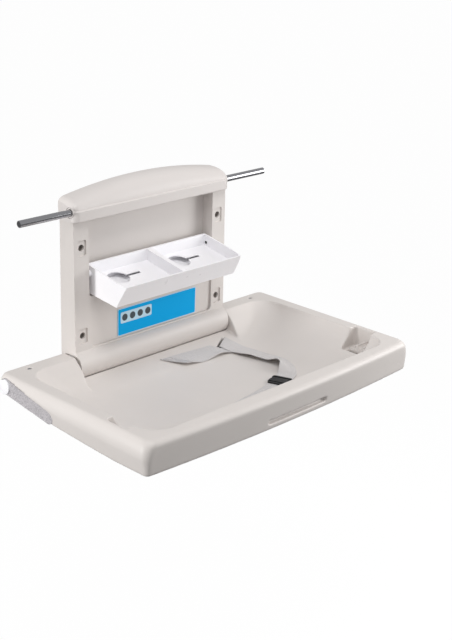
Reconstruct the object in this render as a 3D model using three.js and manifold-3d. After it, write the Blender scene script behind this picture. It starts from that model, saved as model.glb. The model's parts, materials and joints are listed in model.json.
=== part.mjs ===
// Wall-hung baby changing station with its bed open. Millimetres, +Z up.
// The wall is the plane y = 0 and the front faces -Y.
// x = 0 is the middle of the width and z = 0 is the top of the open bed's rim.
import * as THREE from 'three';
import { mergeVertices } from 'three/addons/utils/BufferGeometryUtils.js';
import Module from 'manifold-3d';

const wasm = await Module();
wasm.setup();

// Clearances
const seatGap = 0.3;
const turnGap = 0.3;
const barrelGap = 2.5;
const washerGap = 0.4;
const layerGap = 0.6;

// Hinge
const hingeDepth = 35;
const hingeDrop = 25.5;
const barrelRadius = 38;
const axleRadius = 9;
const barrelBore = 24;
const bushLength = 30;
const damperLength = 85;
const damperInset = 40;
const washerRadius = 18;

// Bed
const bedWidth = 868;
const bedReach = 502;
const bedRear = 12;
const frontBow = 15;
const edgeHeight = 75;
const topRound = 12;
const rearRound = 5;
const endRollWidth = 18;
const endRollHeight = 38;
const sideDraft = 5;
const lowerRound = 6;
const lowerInset = 3;
const frontCorner = 34;
const lowCorner = 9;
const rearCorner = 14;
const knuckleRadius = 34.3;
const undersideRun = 4;
const bellyInset = 150;
const bellySwell = 2.2;
const armRaise = 24;
const armReach = 400;
const armInner = 270;
const armTaper = 1.2;
const sideRim = 46;
const frontRim = 30;
const rearRim = 44;
const basinDepth = 88;
const basinSideRun = 176;
const basinFrontRun = 71;
const basinRearRun = 190;
const basinShoulder = 0.95;
const basinSpread = 1.6;
const basinSwell = 0.65;
const basinCorner = 56;
const floorWall = 14;
const notchGap = 3;
const rampLip = 50;
const rampReach = 135;
const cutPast = 5;

// Finger groove low on the front face
const grooveLength = 194;
const grooveHeight = 11;
const grooveDepth = 14;
const grooveX = 12;
const grooveZ = -56;

// End covers and axle caps
const coverRadius = 18.5;
const coverFrontRadius = 15;
const coverRun = 149;
const coverFall = 24.5;
const coverThickness = 5;
const coverSeat = 10;
const capRadius = 17;
const capThickness = 8;
const axleScrewInset = 72;

// Wall frame
const frameWidth = 484;
const frameTop = 318;
const postTopDepth = 47;
const postBaseDepth = 51.5;
const postWidth = 44;
const postRound = 7;
const panelDepth = 14;
const lowerPanelDepth = 46;
const recessBottom = 134;
const shallowBottom = 12;
const recessCorner = 12;
const holeInset = 24;
const holeHigh = 255;
const holeLow = 45;
const holeRadius = 4.5;
const holeSeatRadius = 8;
const holeSeatDepth = 28;
const holePadWidth = 25;
const holePadHeight = 37;
const holePadDepth = 3;
const holePadCorner = 4;
const plateWidth = 28;
const plateMargin = 28;
const plateThickness = 3;
const plateCorner = 5;

// Hood and latch rod
const hoodOverhang = 4;
const hoodDepth = 58;
const hoodCrease = 345;
const hoodPeak = 391;
const hoodEndDrop = 24;
const hoodEndRound = 16;
const hoodEndFall = 0.6;
const hoodDome = 0.8;
const hoodLip = 3;
const rodInset = 49;
const rodRadius = 8;
const rodDepth = 40;
const rodHeight = 340;
const rodChamfer = 1.2;
const grommetRadius = 12;
const grommetLength = 24;
const grommetSink = 1;

// Label
const labelWidth = 257;
const labelHeight = 68;
const labelX = 18;
const labelZ = 49;
const labelThickness = 1.2;
const labelCorner = 4;

// Liner dispenser, given by its side profile
const trayGap = 8;
const trayRear = 30;
const trayRearTop = 209;
const trayRearBottom = 141;
const trayFrontTopReach = 162;
const trayFrontTop = 183;
const trayFrontBottomReach = 133;
const trayFrontBottom = 130;
const trayWall = 4;
const trayShelf = 3;
const trayRound = 7;
const trayCornerRun = 11;
const trayFloor = 3;
const trayPast = 60;
const dividerThickness = 14;
const lidDrop = 26;
const lidThickness = 2.5;
const wellDepth = 14;
const eyeLength = 60;
const eyeWidth = 54;
const eyeReach = 73;
const eyeTipInset = 22;
const slitStartInset = 7;
const slitEndInset = 57;
const slitWidth = 9;
const pivotDepth = 40;
const pivotHeight = 188;
const pinRadius = 4;
const pinSeat = 14;
const bossRadius = 8;

// Latch pockets and catches
const pocketLength = 62;
const pocketWidth = 56;
const pocketInset = 24;
const pocketDepth = 52;
const pocketCorner = 10;
const catchWidth = 40;
const catchLength = 27;
const catchTab = 22;
const catchTabHeight = 6;
const catchGap = 0.7;
const screwRadius = 4;
const screwHead = 3;
const screwSink = 1.5;

// Belt and buckle
const beltWidth = 45;
const beltThickness = 1.8;
const beltSlotInset = 55;
const beltSlotReach = 65;
const beltSlotWidth = 10;
const beltSlotMargin = 2;
const beltDip = 2;
const beltTilt = 9;
const beltRise = 70;
const beltFall = 60;
const beltOverTail = 75;
const beltEndInset = 34;
const beltEndRise = 63;
const beltLeave = [45, -90];
const beltArrive = [110, 40];
const tailRunIn = 202;
const tailSlant = 50;
const tailLength = 162;
const tailReach = 77;
const tailDrift = 9;
const buckleLength = 44;
const buckleWidth = 50;
const buckleHeight = 6;
const buckleGap = 1;
const buckleCorner = 6;
const buckleBar = 5;
const buckleSlot = 5;
const socketShare = 0.62;
const prongWidth = 6;
const prongInset = 8;
const prongShare = 0.6;
const prongLowShare = 0.3;
const prongHighShare = 0.7;
const frontSlotX = -30;
const frontSlotInset = 117;
const frontLeave = 0.35;
const frontArrive = 0.6;
const keeperThickness = 5;
const keeperMargin = 6;
const keeperCorner = 4;

const cream = new THREE.MeshStandardMaterial({ color: 0xd8d0ca, roughness: 0.5, metalness: 0 });
const paleCream = new THREE.MeshStandardMaterial({ color: 0xdcd4ce, roughness: 0.48, metalness: 0 });
const white = new THREE.MeshStandardMaterial({ color: 0xf2f0f3, roughness: 0.4, metalness: 0 });
const grey = new THREE.MeshStandardMaterial({ color: 0xc6c2c5, roughness: 0.75, metalness: 0 });
const chrome = new THREE.MeshStandardMaterial({ color: 0xc9c9cb, roughness: 0.12, metalness: 1 });
const steel = new THREE.MeshStandardMaterial({ color: 0x9c9fa3, roughness: 0.35, metalness: 1 });
const blue = new THREE.MeshStandardMaterial({ color: 0x0093d5, roughness: 0.45, metalness: 0 });
const black = new THREE.MeshStandardMaterial({ color: 0x17181a, roughness: 0.45, metalness: 0 });
const webbing = new THREE.MeshStandardMaterial({ color: 0xbebaba, roughness: 0.85, metalness: 0 });

const hinge = { y: -hingeDepth, z: -hingeDrop };
const endX = bedWidth / 2;
const frameEnd = frameWidth / 2;
const notchEnd = frameEnd + notchGap;
const pocketOuter = endX - pocketInset;
const pocketInner = pocketOuter - pocketWidth;
const floorEnd = endX - sideRim - basinSideRun;
const recessEnd = frameEnd - postWidth;
const holeX = frameEnd - holeInset;
const hoodEnd = frameEnd + hoodOverhang;
const trayEnd = recessEnd - trayGap;
const sides = { left: -1, right: 1 };

const station = new THREE.Group();
const lerp = THREE.MathUtils.lerp;
const rad = THREE.MathUtils.degToRad;
const { clamp, smoothstep } = THREE.MathUtils;
const quarter = Math.PI / 2;
const smallFacets = 16;
const roundFacets = 24;
const fineFacets = 36;

// The two x limits of a piece on one side, in rising order
function span(side, a, b) {
  return side > 0 ? [a, b] : [-b, -a];
}

// Solid from a closed geometry, for joins and cuts
function solid(geometry) {
  const bare = geometry.index ? geometry.toNonIndexed() : geometry.clone();
  bare.deleteAttribute('normal');
  bare.deleteAttribute('uv');
  const merged = mergeVertices(bare, 1e-4);
  return new wasm.Manifold(new wasm.Mesh({
    numProp: 3,
    vertProperties: new Float32Array(merged.attributes.position.array),
    triVerts: new Uint32Array(merged.index.array),
  }));
}

function geometryOf(body) {
  const mesh = body.getMesh();
  const geometry = new THREE.BufferGeometry();
  geometry.setAttribute('position', new THREE.BufferAttribute(new Float32Array(mesh.vertProperties), 3));
  geometry.setIndex(new THREE.BufferAttribute(new Uint32Array(mesh.triVerts), 1));
  geometry.computeVertexNormals();
  return geometry;
}

function add(name, shape, material) {
  const geometry = shape.isBufferGeometry ? shape : geometryOf(shape);
  const mesh = new THREE.Mesh(geometry, material);
  mesh.name = name;
  station.add(mesh);
}

// A profile drawn in (y, z), drawn out along X from x0 to x1
function alongX(shape, x0, x1, curveSegments = 6) {
  const geometry = new THREE.ExtrudeGeometry(shape, { depth: x1 - x0, bevelEnabled: false, curveSegments });
  const axes = new THREE.Matrix4().makeBasis(
    new THREE.Vector3(0, 1, 0), new THREE.Vector3(0, 0, 1), new THREE.Vector3(1, 0, 0));
  return geometry.applyMatrix4(axes).translate(x0, 0, 0);
}

// A profile drawn in (x, z), drawn out along Y from y0 forward to y1 (y1 < y0)
function alongY(shape, y0, y1, curveSegments = 3) {
  const geometry = new THREE.ExtrudeGeometry(shape, { depth: y0 - y1, bevelEnabled: false, curveSegments });
  return geometry.rotateX(Math.PI / 2).translate(0, y0, 0);
}

// A profile drawn in (x, y), drawn up along Z from z0 to z1
function alongZ(shape, z0, z1, curveSegments = 3) {
  const geometry = new THREE.ExtrudeGeometry(shape, { depth: z1 - z0, bevelEnabled: false, curveSegments });
  return geometry.translate(0, 0, z0);
}

function polygon(points) {
  return new THREE.Shape(points.map(([u, v]) => new THREE.Vector2(u, v)));
}

function roundedRect(u0, v0, u1, v1, radius) {
  const r = Math.min(radius, (u1 - u0) / 2 - 0.01, (v1 - v0) / 2 - 0.01);
  const shape = new THREE.Shape();
  shape.moveTo(u0 + r, v0);
  shape.lineTo(u1 - r, v0);
  shape.absarc(u1 - r, v0 + r, r, -Math.PI / 2, 0);
  shape.lineTo(u1, v1 - r);
  shape.absarc(u1 - r, v1 - r, r, 0, Math.PI / 2);
  shape.lineTo(u0 + r, v1);
  shape.absarc(u0 + r, v1 - r, r, Math.PI / 2, Math.PI);
  shape.lineTo(u0, v0 + r);
  shape.absarc(u0 + r, v0 + r, r, Math.PI, Math.PI * 1.5);
  return shape;
}

function rodX(radius, x0, x1, y, z, facets = roundFacets) {
  const geometry = new THREE.CylinderGeometry(radius, radius, x1 - x0, facets);
  return geometry.rotateZ(Math.PI / 2).translate((x0 + x1) / 2, y, z);
}

function rodY(radius, x, y0, y1, z, facets = roundFacets) {
  return new THREE.CylinderGeometry(radius, radius, y1 - y0, facets).translate(x, (y0 + y1) / 2, z);
}

function rodZ(radius, x, y, z0, z1, facets = smallFacets) {
  const geometry = new THREE.CylinderGeometry(radius, radius, z1 - z0, facets);
  return geometry.rotateX(Math.PI / 2).translate(x, y, (z0 + z1) / 2);
}

function box(x0, y0, z0, x1, y1, z1) {
  const geometry = new THREE.BoxGeometry(x1 - x0, y1 - y0, z1 - z0);
  return geometry.translate((x0 + x1) / 2, (y0 + y1) / 2, (z0 + z1) / 2);
}

function ringX(outer, inner, x0, x1, y, z, facets = roundFacets) {
  const past = 1;
  const bore = solid(rodX(inner, x0 - past, x1 + past, y, z, facets));
  return solid(rodX(outer, x0, x1, y, z, facets)).subtract(bore);
}

// Closed skin through rings of equal point count, capped at both ends
function loft(rings) {
  const count = rings[0].length;
  const position = [];
  const index = [];
  for (const ring of rings) {
    for (const point of ring) {
      position.push(point.x, point.y, point.z);
    }
  }
  for (let k = 0; k + 1 < rings.length; k++) {
    for (let j = 0; j < count; j++) {
      const a = k * count + j;
      const b = k * count + (j + 1) % count;
      index.push(a, b, b + count, a, b + count, a + count);
    }
  }
  const last = (rings.length - 1) * count;
  for (let j = 1; j + 1 < count; j++) {
    index.push(0, j + 1, j);
    index.push(last, last + j, last + j + 1);
  }
  const geometry = new THREE.BufferGeometry();
  geometry.setAttribute('position', new THREE.Float32BufferAttribute(position, 3));
  geometry.setIndex(index);
  return geometry;
}

// Plan ring of the bed: round corners, front edge bowed outward, counter-clockwise from above
const cornerSteps = 6;
const edgeSteps = 10;
const sideSteps = 5;

function planRing({ half, front, rear, frontRadius, rearRadius, bow, z }) {
  const points = [];
  const put = (x, y) => {
    const share = clamp((front + frontRadius - y) / frontRadius, 0, 1);
    points.push(new THREE.Vector3(x, y - bow * share * (1 - (x / half) ** 2), z));
  };
  const corner = (cx, cy, r, start) => {
    for (let k = 0; k <= cornerSteps; k++) {
      const angle = start + quarter * (k / cornerSteps);
      put(cx + r * Math.cos(angle), cy + r * Math.sin(angle));
    }
  };
  const edge = (x0, y0, x1, y1, steps) => {
    for (let k = 1; k < steps; k++) {
      put(lerp(x0, x1, k / steps), lerp(y0, y1, k / steps));
    }
  };
  const frontX = half - frontRadius;
  const frontY = front + frontRadius;
  const rearX = half - rearRadius;
  const rearY = rear - rearRadius;
  corner(-frontX, frontY, frontRadius, Math.PI);
  edge(-frontX, front, frontX, front, edgeSteps);
  corner(frontX, frontY, frontRadius, -quarter);
  edge(half, frontY, half, rearY, sideSteps);
  corner(rearX, rearY, rearRadius, 0);
  edge(rearX, rear, -rearX, rear, edgeSteps);
  corner(-rearX, rearY, rearRadius, quarter);
  edge(-half, rearY, -half, frontY, sideSteps);
  return points;
}

// Rear edge of the bed at height z: it stays inside the circle that it turns in, clear of the wall
function bedRearAt(z) {
  const rise = z - hinge.z;
  if (rise < -knuckleRadius) {
    return hinge.y - undersideRun * (-knuckleRadius - rise);
  }
  return Math.min(-bedRear, hinge.y + Math.sqrt(knuckleRadius ** 2 - rise ** 2));
}

// Ring of the bed's outside at height z: the ends roll over broadly, the front and rear edges tightly,
// and the front corners sharpen towards the lower edge
function outerRing(inset, z) {
  const rolled = (width, height) => width * (1 - Math.sqrt(1 - clamp((z + height) / height, 0, 1) ** 2));
  const drafted = (height) => inset + sideDraft * clamp((-z - height) / (edgeHeight - height), 0, 1);
  return {
    half: endX - drafted(endRollHeight) - rolled(endRollWidth, endRollHeight),
    front: -bedReach + drafted(topRound) + rolled(topRound, topRound),
    rear: Math.min(bedRearAt(z), -bedRear - drafted(topRound) - rolled(rearRound, rearRound)),
    frontRadius: lerp(lowCorner, frontCorner, clamp(1 + z / edgeHeight, 0, 1)),
    rearRadius: rearCorner,
    bow: frontBow,
    z,
  };
}

// At its ends the bed is shallow by the hinge and deepens to the front
function raiseArm(point) {
  const back = clamp((point.y + armReach) / (armReach - bedRear), 0, 1);
  const outward = smoothstep(Math.abs(point.x), armInner, endX - sideDraft);
  const low = smoothstep(-point.z, 0, edgeHeight);
  point.z += armRaise * back ** armTaper * outward * low;
  return point;
}

function outerRings() {
  const belly = basinDepth + floorWall - edgeHeight;
  const rings = [];
  const bellySteps = 5;
  for (let k = 0; k < bellySteps; k++) {
    const share = k / bellySteps;
    const inset = lerp(bellyInset, lowerInset, share);
    rings.push(outerRing(inset, -edgeHeight - belly * (1 - share ** bellySwell)));
  }
  const steps = 3;
  for (let k = 0; k <= steps; k++) {
    const angle = quarter * (k / steps);
    const inset = lowerInset * (1 - Math.sin(angle));
    rings.push(outerRing(inset, -edgeHeight + lowerRound * (1 - Math.cos(angle))));
  }
  const rollSteps = 7;
  for (let k = 0; k <= rollSteps; k++) {
    rings.push(outerRing(0, -endRollHeight * (1 - Math.sin(quarter * (k / rollSteps)))));
  }
  return rings;
}

// Basin rings: t runs from the rim's inner edge to the flat of the floor
const basinSteps = 9;

function basinRing(k) {
  const t = (k / basinSteps) ** basinSpread;
  const steep = t ** basinSpread;
  const shoulder = basinShoulder * t ** 0.7 * (1 - t) ** 4;
  return {
    half: endX - sideRim - basinSideRun * t,
    front: -bedReach + frontRim + basinFrontRun * steep,
    rear: -bedRear - rearRim - basinRearRun * (steep + shoulder),
    frontRadius: basinCorner,
    rearRadius: basinCorner,
    bow: 0,
    z: -basinDepth * (1 - (1 - t) ** 2) ** basinSwell,
  };
}

// Height of the basin at (x, y), found between the rings
function basinAt(x, y) {
  const at = (k) => {
    const low = basinRing(Math.floor(k));
    const high = basinRing(Math.min(Math.floor(k) + 1, basinSteps));
    const part = k - Math.floor(k);
    const mix = (key) => lerp(low[key], high[key], part);
    const half = mix('half') - basinCorner;
    const middle = (mix('front') + mix('rear')) / 2;
    const reach = (mix('rear') - mix('front')) / 2 - basinCorner;
    const dx = Math.max(Math.abs(x) - half, 0);
    const dy = Math.max(Math.abs(y - middle) - reach, 0);
    return { inside: Math.hypot(dx, dy) - basinCorner, z: mix('z') };
  };
  if (at(basinSteps).inside <= 0) {
    return -basinDepth;
  }
  let outside = 0;
  let within = basinSteps;
  const passes = 40;
  for (let pass = 0; pass < passes; pass++) {
    const middle = (outside + within) / 2;
    if (at(middle).inside > 0) {
      within = middle;
    } else {
      outside = middle;
    }
  }
  return at(outside).z;
}

// Ramp in front of the barrel, lower than the shoulders at the bed's ends
const notchRadius = barrelRadius + barrelGap;
const lipAngle = Math.asin((rampLip + hinge.z) / notchRadius);
const lip = { y: hinge.y - notchRadius * Math.cos(lipAngle), z: -rampLip };
const rampEnd = { y: -rampReach, z: basinAt(0, -rampReach) };

function floorAt(x, y) {
  const basin = basinAt(x, y);
  if (Math.abs(x) > notchEnd || y < rampEnd.y) {
    return basin;
  }
  const share = (y - lip.y) / (rampEnd.y - lip.y);
  return Math.min(basin, lerp(lip.z, rampEnd.z, share));
}

// Point of the bed that meets the latch rod when the bed is shut
const rodOnBed = {
  y: hinge.y - (rodHeight - hinge.z),
  z: hinge.z + (-rodDepth - hinge.y),
};

function makeBed() {
  const rings = outerRings().map((ring) => planRing(ring).map(raiseArm));
  for (let k = 0; k <= basinSteps; k++) {
    rings.push(planRing(basinRing(k)));
  }
  let body = solid(loft(rings));

  const notch = new THREE.Shape();
  notch.moveTo(lip.y, lip.z);
  notch.absarc(hinge.y, hinge.z, notchRadius, Math.PI + lipAngle, Math.PI * 1.5);
  notch.lineTo(notchRadius, hinge.z - notchRadius);
  notch.lineTo(notchRadius, topRound);
  notch.lineTo(rampEnd.y, topRound);
  notch.lineTo(rampEnd.y, rampEnd.z);
  body = body.subtract(solid(alongX(notch, -notchEnd, notchEnd, 8)));
  const axleHole = rodX(axleRadius + turnGap, -endX - cutPast, endX + cutPast, hinge.y, hinge.z);
  body = body.subtract(solid(axleHole));

  for (const side of Object.values(sides)) {
    body = body.subtract(solid(alongZ(pocketOutline(side, 0), -pocketDepth, topRound)));
    const seat = coverBlank(seatGap, ...span(side, endX - coverSeat, endX + cutPast));
    body = body.subtract(solid(seat));
    const screwHole = rodZ(screwRadius + turnGap, side * axleScrewX, hinge.y, hinge.z, cutPast);
    body = body.subtract(solid(screwHole));
  }

  const groove = roundedRect(
    grooveX - grooveLength / 2, grooveZ - grooveHeight / 2,
    grooveX + grooveLength / 2, grooveZ + grooveHeight / 2, grooveHeight / 2);
  const frontFace = -bedReach - frontBow;
  body = body.subtract(solid(alongY(groove, frontFace + grooveDepth, frontFace - cutPast)));

  for (const place of Object.values(beltSlots)) {
    body = body.subtract(solid(slot(place)));
    body = body.subtract(solid(keeperBlank(place, seatGap, basinDepth)));
  }
  return body;
}

// Plan outline of a latch pocket, drawn in by a clearance
function pocketOutline(side, inset) {
  const x0 = Math.min(side * pocketInner, side * pocketOuter) + inset;
  const x1 = Math.max(side * pocketInner, side * pocketOuter) - inset;
  const y0 = rodOnBed.y - catchLength / 2 + inset;
  return roundedRect(x0, y0, x1, y0 + pocketLength - 2 * inset, pocketCorner - inset);
}

// Slots in the floor that the belt ends pass down through, each turned to lie across its belt
const beltSlotX = notchEnd - beltSlotInset;
const beltSlotY = hinge.y - beltSlotReach;
const frontSlotY = -bedReach + frontSlotInset;
const beltSlots = {
  rear: { x: beltSlotX, y: beltSlotY, turn: Math.atan2(beltLeave[0], -beltLeave[1]) },
  front: { x: frontSlotX, y: frontSlotY, turn: 0 },
};

function slot({ x, y, turn }) {
  const half = beltWidth / 2 + beltSlotMargin;
  const shape = roundedRect(-half, -beltSlotWidth / 2, half, beltSlotWidth / 2, beltSlotWidth / 2);
  return alongZ(shape, -basinDepth - floorWall - cutPast, 0).rotateZ(turn).translate(x, y, 0);
}

// Keeper bar let into the underside below a slot
function keeperBlank({ x, y, turn }, grow, depth) {
  const half = beltWidth / 2 + keeperMargin + grow;
  const reach = beltSlotWidth / 2 + keeperMargin + grow;
  const shape = roundedRect(-half, -reach, half, reach, keeperCorner);
  const level = keeperLevel(y);
  return alongZ(shape, level - depth, level + grow).rotateZ(turn).translate(x, y, 0);
}

// Top of a keeper: below the floor, and up in the underside where that rises to the hinge
function keeperLevel(y) {
  const underside = hinge.z - knuckleRadius - (hinge.y - y) / undersideRun;
  return Math.max(-basinDepth - beltDip - layerGap, underside + keeperThickness);
}

// Cover outline along the bed's end: round about the axle, tapering down to the front
function coverBlank(grow, x0, x1) {
  const run = Math.hypot(coverRun, coverFall);
  const heading = Math.atan2(-coverFall, -coverRun);
  const spread = Math.acos((coverRadius - coverFrontRadius) / run);
  const points = [];
  const arcSteps = 10;
  const arc = (y, z, radius, start, end) => {
    for (let k = 0; k <= arcSteps; k++) {
      const angle = lerp(start, end, k / arcSteps);
      points.push([y + radius * Math.cos(angle), z + radius * Math.sin(angle)]);
    }
  };
  arc(hinge.y, hinge.z, coverRadius + grow, heading + spread, heading - spread + 2 * Math.PI);
  arc(hinge.y - coverRun, hinge.z - coverFall, coverFrontRadius + grow, heading - spread, heading + spread);
  return alongX(polygon(points), x0, x1);
}

const axleScrewX = endX - axleScrewInset;

function makeEndPieces() {
  const inner = endX - coverSeat + seatGap;
  const outer = inner + coverThickness;
  const capInner = outer - coverThickness / 2;
  for (const [word, side] of Object.entries(sides)) {
    const capHole = rodX(capRadius + seatGap, ...span(side, capInner, outer + cutPast), hinge.y, hinge.z);
    const axleHole = rodX(axleRadius + turnGap, ...span(side, inner - cutPast, outer), hinge.y, hinge.z);
    const blank = solid(coverBlank(0, ...span(side, inner, outer)));
    add(`end_cover_${word}`, blank.subtract(solid(capHole)).subtract(solid(axleHole)), grey);
    const capSpan = span(side, capInner + seatGap, capInner + capThickness);
    add(`axle_cap_${word}`, rodX(capRadius, ...capSpan, hinge.y, hinge.z, fineFacets), white);

    const washer = ringX(washerRadius, axleRadius + turnGap,
      ...span(side, frameEnd + washerGap, notchEnd - washerGap), hinge.y, hinge.z);
    add(`thrust_washer_${word}`, washer, black);
    const screwLow = hinge.z + axleRadius + seatGap;
    add(`axle_screw_${word}`, rodZ(screwRadius, side * axleScrewX, hinge.y, screwLow, -screwSink), black);

    const bush = ringX(barrelBore - seatGap, axleRadius + turnGap,
      ...span(side, frameEnd - bushLength, frameEnd), hinge.y, hinge.z);
    add(`barrel_bush_${word}`, bush, white);
    const damperOuter = frameEnd - bushLength - damperInset;
    const damper = ringX(barrelBore - seatGap, axleRadius + turnGap,
      ...span(side, damperOuter - damperLength, damperOuter), hinge.y, hinge.z);
    add(`damper_${word}`, damper, black);
  }
  add('hinge_axle', rodX(axleRadius, -capInner, capInner, hinge.y, hinge.z), steel);
}

function makeCatches() {
  for (const [word, side] of Object.entries(sides)) {
    const x1 = pocketOuter - seatGap;
    const x0 = x1 - catchWidth;
    const z0 = -pocketDepth + seatGap;
    const z1 = rodOnBed.z;
    const y0 = rodOnBed.y - catchLength / 2 + seatGap;
    const y1 = rodOnBed.y + catchLength / 2;
    const tabEnd = y1 + catchTab;
    const tabTop = z0 + catchTabHeight;
    const profile = new THREE.Shape();
    profile.moveTo(y0, z0);
    profile.lineTo(tabEnd, z0);
    profile.lineTo(tabEnd, tabTop);
    profile.lineTo(y1, tabTop);
    profile.lineTo(y1, z1);
    profile.lineTo(rodOnBed.y + rodRadius + catchGap, z1);
    profile.absarc(rodOnBed.y, rodOnBed.z, rodRadius + catchGap, 0, Math.PI, true);
    profile.lineTo(y0, z1);
    const screwX = side * (x0 + catchWidth / 2);
    const screwY = (y1 + tabEnd) / 2;
    const hole = rodZ(screwRadius / 2 + turnGap, screwX, screwY, z0 - cutPast, tabTop + cutPast);
    const within = solid(alongZ(pocketOutline(side, seatGap), z0 - cutPast, z1 + cutPast));
    const blank = solid(alongX(profile, ...span(side, x0, x1), 6));
    add(`latch_catch_${word}`, blank.intersect(within).subtract(solid(hole)), cream);
    const head = solid(rodZ(screwRadius, screwX, screwY, tabTop + seatGap, tabTop + seatGap + screwHead));
    const shank = solid(rodZ(screwRadius / 2, screwX, screwY, z0, tabTop + 1));
    add(`catch_screw_${word}`, head.add(shank), black);
  }
}

function makeWallFrame() {
  const side = new THREE.Shape();
  const shoulder = Math.sqrt(barrelRadius ** 2 - (postBaseDepth - hingeDepth) ** 2);
  const start = Math.atan2(shoulder, hingeDepth - postBaseDepth);
  side.moveTo(0, frameTop);
  side.lineTo(-postTopDepth, frameTop);
  side.lineTo(-postBaseDepth, hinge.z + shoulder);
  side.absarc(hinge.y, hinge.z, barrelRadius, start, Math.PI * 1.5);
  side.lineTo(0, hinge.z - barrelRadius);
  let body = solid(alongX(side, -frameEnd, frameEnd, 10));
  for (const sign of Object.values(sides)) {
    const edge = new THREE.Shape();
    const depth = postTopDepth + postRound;
    edge.moveTo(sign * (frameEnd + 1), -postTopDepth + postRound);
    edge.lineTo(sign * frameEnd, -postTopDepth + postRound);
    edge.quadraticCurveTo(sign * frameEnd, -depth, sign * (frameEnd - postRound), -depth);
    edge.lineTo(sign * (frameEnd + 1), -depth);
    body = body.subtract(solid(alongZ(edge, hinge.z + barrelRadius + cutPast, frameTop + cutPast)));
  }
  const past = -postBaseDepth - barrelRadius;
  const upper = roundedRect(-recessEnd, recessBottom, recessEnd, frameTop + 2 * recessCorner, recessCorner);
  body = body.subtract(solid(alongY(upper, -panelDepth, past)));
  const lowerTop = recessBottom + 2 * recessCorner;
  const lower = roundedRect(-recessEnd, shallowBottom, recessEnd, lowerTop, recessCorner);
  body = body.subtract(solid(alongY(lower, -lowerPanelDepth, past)));
  body = body.subtract(solid(rodX(barrelBore, -frameEnd - 1, frameEnd + 1, hinge.y, hinge.z)));
  for (const sign of Object.values(sides)) {
    const x = sign * holeX;
    for (const z of [holeLow, holeHigh]) {
      const face = -lerp(postBaseDepth, postTopDepth, z / frameTop);
      const pad = roundedRect(x - holePadWidth / 2, z - holePadHeight / 2,
        x + holePadWidth / 2, z + holePadHeight / 2, holePadCorner);
      body = body.subtract(solid(alongY(pad, face + holePadDepth, past)));
      body = body.subtract(solid(rodY(holeSeatRadius, x, past, face + holeSeatDepth, z)));
      body = body.subtract(solid(rodY(holeRadius, x, past, 1, z)));
    }
    body = body.subtract(solid(plateBlank(sign, seatGap, -plateThickness - seatGap, 1)));
    const bore = span(sign, recessEnd - 1, recessEnd + pinSeat);
    body = body.subtract(solid(rodX(pinRadius + turnGap, ...bore, -pivotDepth, pivotHeight)));
  }
  return body;
}

// Steel plate let into the back of a post, with the two wall-bolt holes
function plateBlank(sign, grow, y0, y1) {
  const half = plateWidth / 2 + grow;
  const low = holeLow - plateMargin - grow;
  const high = holeHigh + plateMargin + grow;
  const shape = roundedRect(sign * holeX - half, low, sign * holeX + half, high, plateCorner);
  return alongY(shape, y1, y0);
}

function makePlates() {
  for (const [word, sign] of Object.entries(sides)) {
    let plate = solid(plateBlank(sign, 0, -plateThickness, 0));
    for (const z of [holeLow, holeHigh]) {
      plate = plate.subtract(solid(rodY(holeRadius, sign * holeX, -plateThickness - 1, 1, z)));
    }
    add(`mounting_plate_${word}`, plate, steel);
  }
}

// Hood section at x: straight lip band below the crease, quarter-dome above it
function hoodSection(x) {
  const past = Math.max(Math.abs(x) - (hoodEnd - hoodEndRound), 0);
  const pull = hoodEndRound - Math.sqrt(hoodEndRound ** 2 - past ** 2);
  const depth = hoodDepth - pull;
  const top = hoodPeak - hoodEndDrop * (x / hoodEnd) ** 2 - pull * hoodEndFall;
  const low = frameTop + seatGap;
  const points = [[0, low], [-depth + hoodLip, low], [-depth, low + hoodLip], [-depth, hoodCrease - hoodLip]];
  const steps = 8;
  for (let k = 0; k <= steps; k++) {
    const angle = quarter * (k / steps);
    const y = -(depth - hoodLip) * Math.cos(angle) ** hoodDome;
    const z = hoodCrease + (top - hoodCrease) * Math.sin(angle);
    points.push([k === steps ? 0 : y, z]);
  }
  return points.map(([y, z]) => new THREE.Vector3(x, y, z));
}

function makeHood() {
  const xs = [];
  const endSteps = 5;
  for (let k = 0; k < endSteps; k++) {
    xs.push(hoodEnd - hoodEndRound * (1 - Math.cos(quarter * (k + 0.2) / endSteps)));
  }
  const middleSteps = 5;
  for (let k = 0; k <= middleSteps; k++) {
    xs.push(lerp(hoodEnd - hoodEndRound, 0, k / middleSteps));
  }
  const all = [...xs.map((x) => -x), ...xs.slice(0, -1).reverse()];
  let body = solid(loft(all.map(hoodSection).map((ring) => ring.reverse())));
  const rodHole = rodX(rodRadius + seatGap, -hoodEnd - cutPast, hoodEnd + cutPast, -rodDepth, rodHeight);
  body = body.subtract(solid(rodHole));
  for (const sign of Object.values(sides)) {
    const seat = span(sign, hoodEnd - grommetLength, hoodEnd + cutPast);
    body = body.subtract(solid(rodX(grommetRadius + seatGap, ...seat, -rodDepth, rodHeight)));
  }
  return body;
}

function makeRod() {
  const half = endX - rodInset;
  const profile = [
    [0, -half], [rodRadius - rodChamfer, -half], [rodRadius, -half + rodChamfer],
    [rodRadius, half - rodChamfer], [rodRadius - rodChamfer, half], [0, half],
  ].map(([r, a]) => new THREE.Vector2(r, a));
  const rod = new THREE.LatheGeometry(profile, fineFacets).rotateZ(-quarter);
  add('latch_rod', rod.translate(0, -rodDepth, rodHeight), chrome);
  for (const [word, sign] of Object.entries(sides)) {
    const sleeve = span(sign, hoodEnd - grommetLength + seatGap, hoodEnd - grommetSink);
    const grommet = ringX(grommetRadius, rodRadius + seatGap, ...sleeve, -rodDepth, rodHeight);
    add(`rod_grommet_${word}`, grommet, cream);
  }
}

function makeLabel() {
  const shape = roundedRect(labelX - labelWidth / 2, labelZ - labelHeight / 2,
    labelX + labelWidth / 2, labelZ + labelHeight / 2, labelCorner);
  const back = -lowerPanelDepth - seatGap;
  add('label_plate', alongY(shape, back, back - labelThickness), blue);
}

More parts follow.
